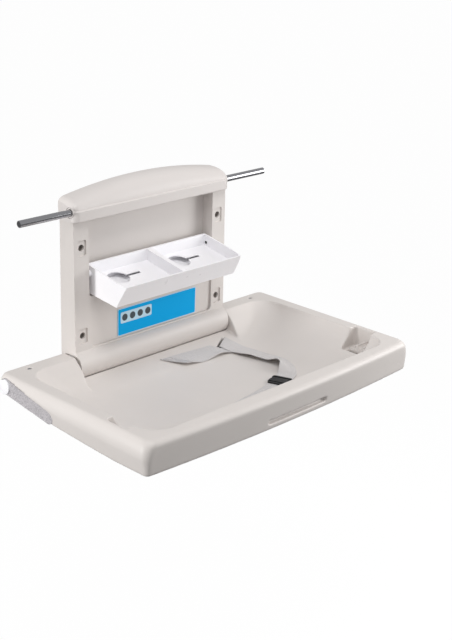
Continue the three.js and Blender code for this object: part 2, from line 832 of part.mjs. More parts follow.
// Dispenser: the rim slopes down to the front, and the lids lie deep below it on a shelf
const trayRun = trayFrontTopReach - trayRear;
const traySlope = Math.atan2(trayRearTop - trayFrontTop, trayRun);

function rimHeight(y) {
  return trayRearTop - (-trayRear - y) * Math.tan(traySlope);
}

// Plan of the tray drawn in by a wall, from a height below it to one above it
function trayPlan(wall) {
  const half = trayEnd - wall;
  const front = -trayFrontTopReach - 1 + wall;
  const bend = -trayFrontBottomReach + trayRound;
  const plan = new THREE.Shape();
  plan.moveTo(-half, -trayRear + 1);
  plan.lineTo(-half, bend);
  plan.quadraticCurveTo(-half, front, -half + trayCornerRun, front);
  plan.lineTo(half - trayCornerRun, front);
  plan.quadraticCurveTo(half, front, half, bend);
  plan.lineTo(half, -trayRear + 1);
  return solid(alongZ(plan, trayFrontBottom - trayPast, trayRearTop + trayPast));
}

// Space inside the tray's walls between x0 and x1, open above and below
function trayInside(x0, x1, wall) {
  const lean = (trayFrontTopReach - trayFrontBottomReach) / (trayFrontTop - trayFrontBottom);
  const frontAt = (z) => -trayFrontBottomReach - lean * (z - trayFrontBottom) + wall;
  const rear = -trayRear - wall;
  const low = trayFrontBottom - trayPast;
  const high = trayRearTop + trayPast;
  const shape = polygon([[rear, low], [rear, high], [frontAt(high), high], [frontAt(low), low]]);
  return solid(alongX(shape, x0, x1)).intersect(trayPlan(wall));
}

// Slab parallel to the rim, from a depth below it down to a second depth
function lidSlab(drop0, drop1) {
  const y0 = -trayRear + 1;
  const y1 = -trayFrontTopReach - trayPast;
  const fall = 1 / Math.cos(traySlope);
  return solid(alongX(polygon([
    [y0, rimHeight(y0) - drop0 * fall], [y1, rimHeight(y1) - drop0 * fall],
    [y1, rimHeight(y1) - drop1 * fall], [y0, rimHeight(y0) - drop1 * fall],
  ]), -trayEnd, trayEnd));
}

const lidSeat = lidDrop + lidThickness + seatGap;
const wellDrop = lidSeat + wellDepth;

function makeTray() {
  const profile = polygon([
    [-trayRear, trayRearBottom], [-trayRear, trayRearTop],
    [-trayFrontTopReach, trayFrontTop], [-trayFrontBottomReach, trayFrontBottom],
  ]);
  let body = solid(alongX(profile, -trayEnd, trayEnd)).intersect(trayPlan(0));
  const outer = trayEnd - trayWall;
  const middle = dividerThickness / 2;
  for (const sign of Object.values(sides)) {
    const bossSpan = span(sign, trayEnd - 1, recessEnd - 2 * washerGap);
    body = body.add(solid(rodX(bossRadius, ...bossSpan, -pivotDepth, pivotHeight)));
    const seat = trayInside(...span(sign, middle, outer), trayWall);
    body = body.subtract(seat.intersect(lidSlab(-trayPast, lidSeat)));
    const well = trayInside(...span(sign, middle + trayShelf, outer - trayShelf), trayWall + trayShelf);
    body = body.subtract(well.intersect(lidSlab(lidDrop, wellDrop)));
    const bore = span(sign, outer - 1, recessEnd + cutPast);
    body = body.subtract(solid(rodX(pinRadius + turnGap, ...bore, -pivotDepth, pivotHeight)));
  }
  const below = lidSlab(wellDrop + trayFloor, 2 * trayPast);
  return body.subtract(trayInside(-outer, outer, trayWall).intersect(below));
}

// Opening in a lid: round at one end, drawn to a point at the other, with a slit running on from each
function eyeOutline(left, right, cy) {
  const slit = slitWidth / 2;
  const r = eyeWidth / 2;
  const tip = left + eyeTipInset;
  const middle = tip + eyeLength - r;
  const flank = Math.acos(r / (middle - tip));
  const mouth = Math.asin(slit / r);
  const taper = tip + slit * Math.tan(flank);
  const shape = new THREE.Shape();
  shape.moveTo(right - slitEndInset, cy - slit);
  shape.lineTo(right - slitEndInset, cy + slit);
  shape.absarc(middle, cy, r, mouth, Math.PI - flank);
  shape.lineTo(taper, cy + slit);
  shape.lineTo(left + slitStartInset, cy + slit);
  shape.lineTo(left + slitStartInset, cy - slit);
  shape.lineTo(taper, cy - slit);
  shape.absarc(middle, cy, r, Math.PI + flank, 2 * Math.PI - mouth);
  return shape;
}

function makeLids() {
  const x0 = dividerThickness / 2 + seatGap;
  const x1 = trayEnd - trayWall - seatGap;
  for (const [word, sign] of Object.entries(sides)) {
    const within = trayInside(...span(sign, x0, x1), trayWall + seatGap);
    const eye = eyeOutline(...span(sign, x0, x1), -eyeReach);
    const lid = within.intersect(lidSlab(lidDrop, lidDrop + lidThickness));
    add(`dispenser_lid_${word}`, lid.subtract(solid(alongZ(eye, trayFrontBottom, trayRearTop, 8))), white);
    const pin = span(sign, trayEnd - trayWall, recessEnd + pinSeat - seatGap);
    add(`dispenser_pin_${word}`, rodX(pinRadius, ...pin, -pivotDepth, pivotHeight), steel);
  }
}

// Webbing strip: place(s, w) gives the point s along and w across its lower face,
// and the way its thickness lies.
// The first and last steps are short, where an end turns down into a slot.
const beltTurn = beltSlotWidth / 2 - beltSlotMargin;

function webbingStrip(length, place, across = 4, step = 7) {
  const count = Math.ceil((length - 2 * beltTurn) / step);
  const along = [0];
  for (let k = 0; k <= count; k++) {
    along.push(lerp(beltTurn, length - beltTurn, k / count));
  }
  along.push(length);
  const rings = along.map((s) => {
    const lower = [];
    const upper = [];
    for (let j = 0; j <= across; j++) {
      const { point, normal } = place(s, beltWidth * (j / across - 0.5));
      lower.push(point);
      upper.unshift(point.clone().addScaledVector(normal, beltThickness));
    }
    return [...lower, ...upper];
  });
  return loft(rings);
}

const up = new THREE.Vector3(0, 0, 1);

function onFloor(x, y, lift) {
  return { point: new THREE.Vector3(x, y, floorAt(x, y) + lift), normal: up };
}

// The long belt rises out of the rear slot, lies round a bend with its inner edge lifted
// and lies flat again at the buckle
const beltStart = new THREE.Vector2(beltSlotX, beltSlotY);
const beltEnd = new THREE.Vector2(floorEnd - beltEndInset, frontSlotY + beltEndRise);
const beltPath = new THREE.CubicBezierCurve(
  beltStart, beltStart.clone().add(new THREE.Vector2(...beltLeave)),
  beltEnd.clone().add(new THREE.Vector2(...beltArrive)), beltEnd);
const longLength = beltPath.getLength();

function longBeltPlace(s, w) {
  const spot = beltPath.getPointAt(s / longLength);
  const way = beltPath.getTangentAt(s / longLength);
  const across = new THREE.Vector2(-way.y, way.x);
  const leaning = smoothstep(s, beltWidth / 2, beltWidth / 2 + beltRise)
    * (1 - smoothstep(s, longLength - beltWidth / 2 - beltFall, longLength - beltWidth / 2));
  const tilt = rad(beltTilt) * leaning;
  const plan = spot.addScaledVector(across, w * Math.cos(tilt));
  const overTail = 2 * layerGap + beltThickness;
  const settled = lerp(overTail, layerGap, smoothstep(s, beltOverTail, beltOverTail + beltWidth));
  const low = s < beltTurn ? -beltDip : settled;
  const { point } = onFloor(plan.x, plan.y, low + (beltWidth / 2 - w) * Math.sin(tilt));
  const normal = new THREE.Vector3(across.x * Math.sin(tilt), across.y * Math.sin(tilt), Math.cos(tilt));
  return { point, normal };
}

// The tail lies in front of the barrel with both ends cut on the slant
function tailPlace(s, w) {
  const x = beltSlotX - tailRunIn + s + tailSlant * (0.5 - w / beltWidth);
  const y = hinge.y - tailReach - tailDrift * (s / tailLength) + w;
  return onFloor(x, y, layerGap);
}

function makeBelts() {
  add('belt_long', webbingStrip(longLength, longBeltPlace), webbing);
  add('belt_tail', webbingStrip(tailLength, tailPlace), webbing);
}

// Buckle: its length runs along u from the tongue to the socket, lying on the flat of the floor
const buckleWay = beltEnd.clone().sub(beltPath.v2).normalize();
const buckleTurn = new THREE.Matrix4().makeRotationZ(buckleWay.angle());

function onBuckle(geometry) {
  return geometry.applyMatrix4(buckleTurn).translate(beltEnd.x, beltEnd.y, -basinDepth + seatGap);
}

const socketLength = buckleLength * socketShare;
const tongueLength = buckleLength - socketLength;

function makeBuckle() {
  const half = buckleWidth / 2;
  const slotHalf = beltWidth / 2 + 1;
  const slotAt = (u) => solid(box(u, -slotHalf, -1, u + buckleSlot, slotHalf, buckleHeight + 1));
  const root = buckleGap + tongueLength;
  let tongue = solid(alongZ(roundedRect(buckleGap, -half, root, half, buckleCorner), 0, buckleHeight));
  tongue = tongue.subtract(slotAt(buckleGap + buckleBar));
  const prongEnd = root + socketLength * prongShare;
  const prongLow = buckleHeight * prongLowShare;
  const prongHigh = buckleHeight * prongHighShare;
  for (const v of [-half + prongInset, -prongWidth / 2, half - prongInset - prongWidth]) {
    tongue = tongue.add(solid(box(root - 1, v, prongLow, prongEnd, v + prongWidth, prongHigh)));
  }
  const mouth = root + seatGap;
  const throat = box(mouth - 1, -half + prongInset - seatGap, prongLow - seatGap,
    prongEnd + 2 * seatGap, half - prongInset + seatGap, prongHigh + seatGap);
  const tail = mouth + socketLength;
  let socket = solid(alongZ(roundedRect(mouth, -half, tail, half, buckleCorner), 0, buckleHeight));
  socket = socket.subtract(solid(throat)).subtract(slotAt(tail - buckleBar - buckleSlot));
  add('buckle_tongue', onBuckle(geometryOf(tongue)), black);
  add('buckle_socket', onBuckle(geometryOf(socket)), black);
}

// The front belt runs from the socket to the front slot
function makeFrontBelt() {
  const start = beltEnd.clone().addScaledVector(buckleWay, buckleLength + 2 * buckleGap);
  const end = new THREE.Vector2(frontSlotX, frontSlotY);
  const apart = start.distanceTo(end);
  const curve = new THREE.CubicBezierCurve(
    start, start.clone().addScaledVector(buckleWay, apart * frontLeave),
    end.clone().add(new THREE.Vector2(0, apart * frontArrive)), end);
  const length = curve.getLength();
  const place = (s, w) => {
    const spot = curve.getPointAt(s / length);
    const way = curve.getTangentAt(s / length);
    const lift = s > length - beltTurn ? -beltDip : layerGap;
    return onFloor(spot.x - way.y * w, spot.y + way.x * w, lift);
  };
  add('belt_front', webbingStrip(length, place), webbing);
  for (const [word, slotPlace] of Object.entries(beltSlots)) {
    add(`belt_keeper_${word}`, keeperBlank(slotPlace, 0, keeperThickness), black);
  }
}

add('wall_frame', makeWallFrame(), cream);
makePlates();
add('hood_cover', makeHood(), paleCream);
makeRod();
makeLabel();
add('dispenser_tray', makeTray(), white);
makeLids();
add('bed', makeBed(), cream);
makeEndPieces();
makeCatches();
makeBelts();
makeBuckle();
makeFrontBelt();

export default station;
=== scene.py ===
"""Finish of a wall-hung baby changing station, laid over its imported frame."""
import json
import math
from contextlib import contextmanager
from types import SimpleNamespace

import bmesh
import bpy
from mathutils import Matrix, Vector


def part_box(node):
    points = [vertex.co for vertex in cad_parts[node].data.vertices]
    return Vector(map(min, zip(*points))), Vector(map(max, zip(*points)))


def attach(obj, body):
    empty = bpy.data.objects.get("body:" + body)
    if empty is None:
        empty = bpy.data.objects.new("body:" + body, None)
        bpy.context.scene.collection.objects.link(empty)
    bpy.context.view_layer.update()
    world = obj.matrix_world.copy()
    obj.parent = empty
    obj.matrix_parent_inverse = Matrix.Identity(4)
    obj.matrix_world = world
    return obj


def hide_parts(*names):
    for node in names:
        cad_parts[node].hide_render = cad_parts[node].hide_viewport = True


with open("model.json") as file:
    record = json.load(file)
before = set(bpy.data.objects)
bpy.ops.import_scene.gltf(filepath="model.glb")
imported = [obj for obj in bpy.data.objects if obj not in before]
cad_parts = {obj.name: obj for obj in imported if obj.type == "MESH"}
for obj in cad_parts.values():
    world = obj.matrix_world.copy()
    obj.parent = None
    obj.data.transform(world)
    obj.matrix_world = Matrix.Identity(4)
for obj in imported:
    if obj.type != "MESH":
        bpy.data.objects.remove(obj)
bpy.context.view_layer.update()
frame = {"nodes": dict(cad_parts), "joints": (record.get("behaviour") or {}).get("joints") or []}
NODES = frame["nodes"]

bl_info = {
    "name": "Changing station",
    "version": (1, 0, 0),
    "blender": (4, 5, 0),
    "location": "View3D > Sidebar > Station",
    "description": "Builds the finish of a wall-hung baby changing station",
    "category": "Object",
}

MM = 0.001
SIDES = {"left": -1, "right": 1}
LOW, HIGH = 0, 1
X, Y, Z = 0, 1, 2


def srgb(red, green, blue):
    """Linear colour of an 8-bit screen colour."""
    def linear(value):
        share = value / 255
        return share / 12.92 if share <= 0.04045 else ((share + 0.055) / 1.055) ** 2.4
    return (linear(red), linear(green), linear(blue))


# Measures of the frame, in millimetres

def corner_mm(node, end, axis):
    """One coordinate of a node's box."""
    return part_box(node)[end][axis] / MM


def middle_mm(node, axis):
    """Middle of a node's box along an axis."""
    return (corner_mm(node, LOW, axis) + corner_mm(node, HIGH, axis)) / 2


def round_radius(node):
    """Radius of a round node that lies along X."""
    return (corner_mm(node, HIGH, Z) - corner_mm(node, LOW, Z)) / 2


def side_span(node):
    """Inner and outer end of a node on one side, as distances from the middle."""
    return sorted(abs(corner_mm(node, end, X)) for end in (LOW, HIGH))


def joint_mm(name):
    """Place of a joint."""
    joint = next(joint for joint in frame["joints"] if joint["name"] == name)
    return [value / MM for value in joint["pos_m"]]


_, HINGE_Y, HINGE_Z = joint_mm("bed_fold")
_, PIVOT_Y, PIVOT_Z = joint_mm("dispenser_swing")
BED_END = corner_mm("bed", HIGH, X)
FRAME_END = corner_mm("wall_frame", HIGH, X)
FRAME_TOP = corner_mm("wall_frame", HIGH, Z)
ROD_Y = middle_mm("latch_rod", Y)
ROD_Z = middle_mm("latch_rod", Z)
ROD_RADIUS = round_radius("latch_rod")
ROD_END = corner_mm("latch_rod", HIGH, X)
CLEARANCE = 0.3


# Settings that a user would change

def colour_property(name, description, default):
    return bpy.props.FloatVectorProperty(
        name=name, description=description, default=default, subtype="COLOR", size=3, min=0, max=1)


def number_property(name, description, default, **extra):
    return bpy.props.FloatProperty(name=name, description=description, default=default, **extra)


def length_property(name, description, millimetres):
    return number_property(name, description, millimetres * MM, unit="LENGTH", precision=4)


class StationColours(bpy.types.PropertyGroup):
    """Colours of the station's finishes"""
    cream: colour_property("Cream", "Moulded bed, wall frame and catches", srgb(219, 213, 209))
    hood: colour_property("Hood", "Hood and the grommets of the latch rod", srgb(221, 215, 212))
    white: colour_property("White", "Dispenser, axle caps and bushes", srgb(251, 250, 253))
    panel: colour_property("Panel", "Granular end covers", srgb(196, 192, 195))
    chrome: colour_property("Chrome", "Latch rod", srgb(172, 172, 176))
    steel: colour_property("Steel", "Axle with its screws, pins and wall plates", srgb(156, 159, 163))
    label: colour_property("Label", "Blue label", srgb(0, 170, 236))
    dots: colour_property("Label dots", "Plain dots on the label's pale field", srgb(56, 68, 76))
    label_panel: colour_property("Label panel", "Pale field and edge of the label", srgb(196, 226, 242))
    black: colour_property("Black", "Buckle, keepers, catch screws, washers and dampers", srgb(22, 23, 25))
    webbing: colour_property("Webbing", "Belt webbing", srgb(219, 215, 214))
    thread: colour_property("Thread", "Stitches", srgb(178, 174, 173))
    floor: colour_property("Floor", "Floor under the station", srgb(140, 140, 140))


class BedSizes(bpy.types.PropertyGroup):
    """Sizes of the moulded bed"""
    reach: length_property("Reach", "Wall to front edge at the corners", 502)
    bow: length_property("Bow", "Front edge's bulge in the middle", 15)
    rear: length_property("Rear gap", "Wall to rear edge", 12)
    edge: length_property("Edge height", "Rim top to lower edge", 75)
    top_round: length_property("Top round", "Round of the rim's front edge", 12)
    rear_round: length_property("Rear round", "Round of the rim's rear edge", 5)
    roll_width: length_property("Roll width", "Width of the ends' rolled edge", 18)
    roll_height: length_property("Roll height", "Height of the ends' rolled edge", 38)
    draft: length_property("Draft", "Sides drawn in from top to bottom", 5)
    lower_round: length_property("Lower round", "Height of the lower edge's round", 6)
    lower_inset: length_property("Lower inset", "Width of the lower edge's round", 3)
    front_corner: length_property("Front corner", "Plan radius of the front corners at the rim", 25)
    low_corner: length_property("Low corner", "Plan radius of the front corners at the lower edge", 9)
    rear_corner: length_property("Rear corner", "Plan radius of the rear corners", 14)
    knuckle: length_property("Knuckle", "Radius that the rear edge turns in", 34.3)
    belly_inset: length_property("Belly inset", "Edge to the flat of the belly", 150)
    arm_raise: length_property("Arm raise", "Rise of the ends' lower edge at the hinge", 24)
    arm_reach: length_property("Arm reach", "Wall to where the lower edge begins to rise", 400)
    arm_inner: length_property("Arm inner", "Middle to where the rise begins", 270)
    side_rim: length_property("Side rim", "Rim width at the ends", 46)
    front_rim: length_property("Front rim", "Rim width at the front", 30)
    rear_rim: length_property("Rear rim", "Rim width at the rear", 44)
    basin: length_property("Basin depth", "Rim top to floor", 88)
    side_run: length_property("Side run", "Width of the basin's end slopes", 176)
    front_run: length_property("Front run", "Width of the basin's front slope", 71)
    rear_run: length_property("Rear run", "Width of the basin's rear slope", 190)
    basin_corner: length_property("Basin corner", "Plan radius of the basin's corners", 56)
    notch_radius: length_property("Notch radius", "Axis to the notch round the barrel", 40.5)
    notch_gap: length_property("Notch gap", "Wall frame's end to the notch's side", 4)
    ramp_lip: length_property("Ramp lip", "Rim top to the ramp's edge at the barrel", 50)
    ramp_reach: length_property("Ramp reach", "Wall to the ramp's front end", 135)


class BeltSizes(bpy.types.PropertyGroup):
    """Sizes of the belt"""
    width: length_property("Width", "Webbing width", 45)
    thickness: length_property("Thickness", "Webbing thickness", 1.8)
    slot_x: length_property("Slot X", "Middle of the rear slot", 190)
    slot_y: length_property("Slot Y", "Middle of the rear slot", -100)
    end_x: length_property("End X", "Long belt's end at the buckle", 178)
    end_y: length_property("End Y", "Long belt's end at the buckle", -322)
    rise: length_property("Rise", "Length in which the inner edge lifts", 70)
    fall: length_property("Fall", "Length in which it lies down again", 38)
    over: length_property("Over tail", "Length that lies over the tail", 75)
    tail_x: length_property("Tail X", "Rear corner of the tail's tip", -12)
    tail_y: length_property("Tail Y", "Middle of the tail's tip", -112)
    tail_length: length_property("Tail length", "Length of the tail", 162)
    tail_slant: length_property("Tail slant", "Slant of the tail's ends", 50)
    tail_drift: length_property("Tail drift", "Tail's drift to the front along its length", 9)
    tail_curl: length_property("Tail curl", "Lift of the tail's front edge", 9)
    tail_wave: length_property("Tail wave", "Length of a wave of the tail's front edge", 112)
    buckle: length_property("Buckle", "Length of the buckle", 44)
    front_x: length_property("Front X", "Middle of the front slot", -30)
    front_y: length_property("Front Y", "Middle of the front slot", -385)
    rest: length_property("Rest", "Gap between layers", 0.6)
    dip: length_property("Dip", "Depth that an end goes into its slot", 2)
    turn: length_property("Turn", "Length of an end's turn into its slot", 3)


class StageSizes(bpy.types.PropertyGroup):
    """Places of the camera and the floor"""
    pitch: number_property("Pitch", "Camera above the horizon, degrees", 20.4)
    yaw: number_property("Yaw", "Camera round the station, degrees", -46.56)
    roll: number_property("Roll", "Camera roll, degrees", 1.92)
    distance: length_property("Distance", "Camera to target", 2950)
    lens: number_property("Lens", "Focal length, mm", 71.2)
    target: bpy.props.FloatVectorProperty(
        name="Target", description="Point in the middle of the picture",
        default=(0.0460, -0.2500, 0.0758), subtype="XYZ", unit="LENGTH")
    drop: length_property("Floor drop", "Rim to floor", 860)


def in_mm(group):
    """Lengths of a property group, in millimetres."""
    return SimpleNamespace(**{key: getattr(group, key) / MM for key in group.__annotations__})


def colours():
    return bpy.context.scene.station_colours


def bed_sizes():
    return in_mm(bpy.context.scene.station_bed)


def belt_sizes():
    return in_mm(bpy.context.scene.station_belt)


# Mesh helpers, in millimetres

MERGE = 0.001
TIP = 0.001
CRISP_ANGLE = 40
MOST_TRIANGLES = 180000


def clamp(value, low=0.0, high=1.0):
    return min(max(value, low), high)


def smooth_step(value, low, high):
    t = clamp((value - low) / (high - low))
    return t * t * (3 - 2 * t)


def arc(u, v, radius, start, end, steps):
    """Points of an arc, angles in degrees, both ends included."""
    points = []
    for k in range(steps + 1):
        angle = math.radians(start + (end - start) * k / steps)
        points.append((u + radius * math.cos(angle), v + radius * math.sin(angle)))
    return points


def circle(u, v, radius, sides=48):
    """Points once round a circle."""
    return arc(u, v, radius, 0, 360 - 360 / sides, sides - 1)


def rounded_rect(u0, v0, u1, v1, radius):
    """Rectangle with round corners, which leave at least a little of each side straight."""
    steps = 8
    straight = 0.01
    r = min(radius, (u1 - u0) / 2 - straight, (v1 - v0) / 2 - straight)
    return (arc(u1 - r, v0 + r, r, -90, 0, steps) + arc(u1 - r, v1 - r, r, 0, 90, steps)
            + arc(u0 + r, v1 - r, r, 90, 180, steps) + arc(u0 + r, v0 + r, r, 180, 270, steps))


def place_object(name, data):
    """Adds an object to the scene."""
    piece = bpy.data.objects.new(name, data)
    bpy.context.scene.collection.objects.link(piece)
    return piece


@contextmanager
def editing(mesh):
    """Opens a mesh for bmesh operations and writes it back."""
    shape = bmesh.new()
    shape.from_mesh(mesh)
    yield shape
    shape.to_mesh(mesh)
    shape.free()


def make_piece(name, points, faces):
    """Object from points in millimetres and faces, with doubles merged and faces pointing out."""
    mesh = bpy.data.meshes.new(name)
    mesh.from_pydata([Vector(point) * MM for point in points], [], faces)
    with editing(mesh) as shape:
        bmesh.ops.remove_doubles(shape, verts=shape.verts, dist=MERGE * MM)
        bmesh.ops.recalc_face_normals(shape, faces=shape.faces)
    return place_object(name, mesh)


def skin(rings, count, capped=True):
    """Faces between rings of equal point count, with caps on the first and the last."""
    faces = []
    for k in range(rings - 1):
        for j in range(count):
            a, b = k * count + j, k * count + (j + 1) % count
            faces.append((a, b, b + count, a + count))
    if capped:
        faces.append(tuple(reversed(range(count))))
        faces.append(tuple(range((rings - 1) * count, rings * count)))
    return faces


def loft(name, rings, capped=True):
    """Skin through rings of equal point count."""
    points = [point for ring in rings for point in ring]
    return make_piece(name, points, skin(len(rings), len(rings[0]), capped))


AXES = {
    "X": lambda u, v, w: (w, u, v),
    "Y": lambda u, v, w: (u, w, v),
    "Z": lambda u, v, w: (u, v, w),
}


def prism(name, outline, axis, low, high):
    """Outline drawn out along an axis: (y, z) along X, (x, z) along Y, (x, y) along Z."""
    place = AXES[axis]
    return loft(name, [[place(u, v, w) for u, v in outline] for w in (low, high)])


def lathe_x(name, profile, y, z, sides=64, closed=False):
    """Round piece about a line along X: the profile is (x, radius), and a closed one makes a ring."""
    if closed:
        profile = profile + profile[:1]
    rings = [[(x, v, w) for v, w in circle(y, z, max(radius, TIP), sides)] for x, radius in profile]
    return loft(name, rings, capped=not closed)


def apply_tool(piece, kind, **values):
    """Adds a modifier with its values and applies it to the piece's mesh."""
    tool = piece.modifiers.new(kind, kind)
    for key, value in values.items():
        setattr(tool, key, value)
    graph = bpy.context.evaluated_depsgraph_get()
    mesh = bpy.data.meshes.new_from_object(piece.evaluated_get(graph))
    piece.modifiers.clear()
    old = piece.data
    piece.data = mesh
    bpy.data.meshes.remove(old)
    return piece


def carve(piece, cutters, operation="DIFFERENCE"):
    """Cuts the cutters from a piece, or unites or crosses it with them, and removes them."""
    for cutter in cutters:
        apply_tool(piece, "BOOLEAN", operation=operation, solver="EXACT", object=cutter)
        mesh = cutter.data
        bpy.data.objects.remove(cutter)
        bpy.data.meshes.remove(mesh)
    return piece


def shade(piece, angle=180):
    """Smooth shading, with edges sharp past an angle."""
    for polygon in piece.data.polygons:
        polygon.use_smooth = True
    if angle < 180:
        piece.data.set_sharp_from_angle(angle=math.radians(angle))
    return piece


def soften(piece, voxel, rounds):
    """Rounds every edge as a moulding's are: fine remesh, smoothing, and thinning past a count."""
    apply_tool(piece, "REMESH", mode="VOXEL", voxel_size=voxel * MM)
    apply_tool(piece, "SMOOTH", factor=0.5, iterations=rounds)
    triangles = 2 * len(piece.data.polygons)
    if triangles > MOST_TRIANGLES:
        apply_tool(piece, "DECIMATE", ratio=MOST_TRIANGLES / triangles)
    return shade(piece)


def crisp(piece):
    """Smooth shading that keeps flat faces even and edges sharp."""
    shade(piece, CRISP_ANGLE)
    return apply_tool(piece, "WEIGHTED_NORMAL", keep_sharp=True)


def bevel(piece, width, segments, angle):
    """Bevels the edges that are sharper than an angle."""
    apply_tool(piece, "BEVEL", limit_method="ANGLE", angle_limit=math.radians(angle),
               width=width * MM, segments=segments)
    return crisp(piece)


def finish_piece(piece, finish, body, slot, *nodes):
    """Gives a piece its material and body, and hides the nodes that it stands for."""
    piece.data.materials.clear()
    piece.data.materials.append(finish_of(finish))
    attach(piece, body)
    if nodes:
        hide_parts(*nodes)
    return piece


def coat_node(node, finish):
    """Puts a material on a node that keeps its own shape."""
    material = finish_of(finish)
    slots = NODES[node].material_slots
    if not slots:
        NODES[node].data.materials.append(material)
        return
    for slot in slots:
        slot.material = material


# Finishes

GRAIN_GROUP = "Moulded grain"
CLOUD = SimpleNamespace(scale=7.0, detail=4.0, low=0.3, high=0.7, tint=(0.55, 0.53, 0.5, 1))
SPECK = SimpleNamespace(
    scale=330.0, detail=3.0, rough=0.7, low=0.42, high=0.62, tint=(0.3, 0.3, 0.31, 1))
GLOSS = SimpleNamespace(scale=24.0, detail=3.0, low=0.3, high=0.7, swing=0.05)
GRAIN = SimpleNamespace(detail=2.0, depth=0.4 * MM)
# Weave: hollow and crest scale the webbing's colour as painted shade in the hollows and a painted highlight
# on the crests
WEAVE = SimpleNamespace(
    ribs=230.0, waver=0.4, columns=110.0, column_dip=0.55, hollow=0.72, crest_highlight=1.12,
    strength=0.5, depth=0.6 * MM, roughness=0.85, sheen=0.25)
WHITE = (1, 1, 1, 1)

# Finish: name of its colour, roughness, and what sets it apart
FINISHES = {
    "Moulded cream": ("cream", 0.48, {}),
    "Moulded hood": ("hood", 0.45, {}),
    "Smooth white": ("white", 0.32, {"cloud": 0.02, "height": 0.05}),
    "Granular panel": ("panel", 0.75, {"grain": 420.0, "height": 0.9, "speckle": 0.5}),
    "Chrome": ("chrome", 0.13, {"cloud": 0.03, "grain": 300.0, "height": 0.02, "metallic": 1.0}),
    "Plain steel": ("steel", 0.35, {"cloud": 0.12, "metallic": 1.0}),
    "Label blue": ("label", 0.5, {"cloud": 0.03, "height": 0.03, "shine": 0.1}),
    "Label pale": ("label_panel", 0.5, {"cloud": 0.03, "height": 0.03, "shine": 0.1}),
    "Label dots": ("dots", 0.5, {"cloud": 0.03, "height": 0.03}),
    "Black plastic": ("black", 0.42, {"cloud": 0.1}),
    "Thread": ("thread", 0.8, {"cloud": 0.1}),
}


def new_group(name, kind, inputs, outputs):
    """Empty node group with its sockets: inputs are (name, type, default), outputs (name, type)."""
    group = bpy.data.node_groups.new(name, kind)
    for label, socket_type, value in inputs:
        socket = group.interface.new_socket(label, in_out="INPUT", socket_type=socket_type)
        if value is not None:
            socket.default_value = value
    for label, socket_type in outputs:
        group.interface.new_socket(label, in_out="OUTPUT", socket_type=socket_type)
    return group


def feed(tree, made, inputs):
    """Sets a node's inputs, each to a value or to a link from a socket."""
    for key, value in inputs.items():
        if isinstance(value, bpy.types.NodeSocket):
            tree.links.new(value, made.inputs[key])
        else:
            made.inputs[key].default_value = value


def node(tree, kind, inputs=None, **settings):
    """New node with its settings and inputs."""
    made = tree.nodes.new(kind)
    for key, value in settings.items():
        setattr(made, key, value)
    feed(tree, made, inputs or {})
    return made


def reckon(tree, operation, first, second):
    return node(tree, "ShaderNodeMath", {0: first, 1: second}, operation=operation).outputs[0]


def noise(tree, vector, scale, detail, rough=0.5):
    made = node(tree, "ShaderNodeTexNoise",
                {"Vector": vector, "Scale": scale, "Detail": detail, "Roughness": rough})
    return made.outputs["Fac"]


def remap(tree, value, low, high, start, end):
    made = node(tree, "ShaderNodeMapRange", {
        "Value": value, "From Min": low, "From Max": high, "To Min": start, "To Max": end})
    return made.outputs["Result"]


def blend(tree, share, first, second, blend_type):
    made = node(tree, "ShaderNodeMix", {"Factor": share, "A": first, "B": second},
                data_type="RGBA", blend_type=blend_type)
    return made.outputs["Result"]


def moulded_group():
    """Fine moulded grain with faint cloudy variation of colour and gloss."""
    number = "NodeSocketFloat"
    group = new_group(
        GRAIN_GROUP, "ShaderNodeTree",
        [("Colour", "NodeSocketColor", (0.8, 0.8, 0.8, 1)), ("Cloud", number, 0.04),
         ("Roughness", number, 0.5), ("Grain scale", number, 900.0),
         ("Grain height", number, 0.08), ("Speckle", number, 0.0)],
        [("Colour", "NodeSocketColor"), ("Roughness", number), ("Normal", "NodeSocketVector")])
    enter = node(group, "NodeGroupInput").outputs
    place = node(group, "ShaderNodeTexCoord").outputs["Object"]
    cloud = noise(group, place, CLOUD.scale, CLOUD.detail)
    cloud = remap(group, cloud, CLOUD.low, CLOUD.high, 0.0, 1.0)
    cloud = reckon(group, "MULTIPLY", cloud, enter["Cloud"])
    clouded = blend(group, cloud, enter["Colour"], CLOUD.tint, "MULTIPLY")
    specks = noise(group, place, SPECK.scale, SPECK.detail, SPECK.rough)
    specks = remap(group, specks, SPECK.low, SPECK.high, 0.0, 1.0)
    specks = reckon(group, "MULTIPLY", specks, enter["Speckle"])
    swing = noise(group, place, GLOSS.scale, GLOSS.detail)
    swing = remap(group, swing, GLOSS.low, GLOSS.high, -GLOSS.swing, GLOSS.swing)
    bump = node(group, "ShaderNodeBump", {
        "Strength": enter["Grain height"], "Distance": GRAIN.depth,
        "Height": noise(group, place, enter["Grain scale"], GRAIN.detail)})
    node(group, "NodeGroupOutput", {
        "Colour": blend(group, specks, clouded, SPECK.tint, "MULTIPLY"),
        "Roughness": reckon(group, "ADD", enter["Roughness"], swing),
        "Normal": bump.outputs["Normal"]})


def material_shell(name):
    material = bpy.data.materials.new(name)
    material.use_nodes = True
    tree = material.node_tree
    return material, tree, tree.nodes["Principled BSDF"]


def moulded(name, colour, roughness, cloud=0.05, grain=900.0, height=0.1, speckle=0.0,
            metallic=0.0, shine=0.5):
    """Material on the shared grain group."""
    if GRAIN_GROUP not in bpy.data.node_groups:
        moulded_group()
    material, tree, shader = material_shell(name)
    group = node(tree, "ShaderNodeGroup", {
        "Colour": (*colour, 1), "Cloud": cloud, "Roughness": roughness,
        "Grain scale": grain, "Grain height": height, "Speckle": speckle,
    }, node_tree=bpy.data.node_groups[GRAIN_GROUP])
    feed(tree, shader, {
        "Base Color": group.outputs["Colour"], "Roughness": group.outputs["Roughness"],
        "Normal": group.outputs["Normal"], "Metallic": metallic, "Specular IOR Level": shine})
    return material


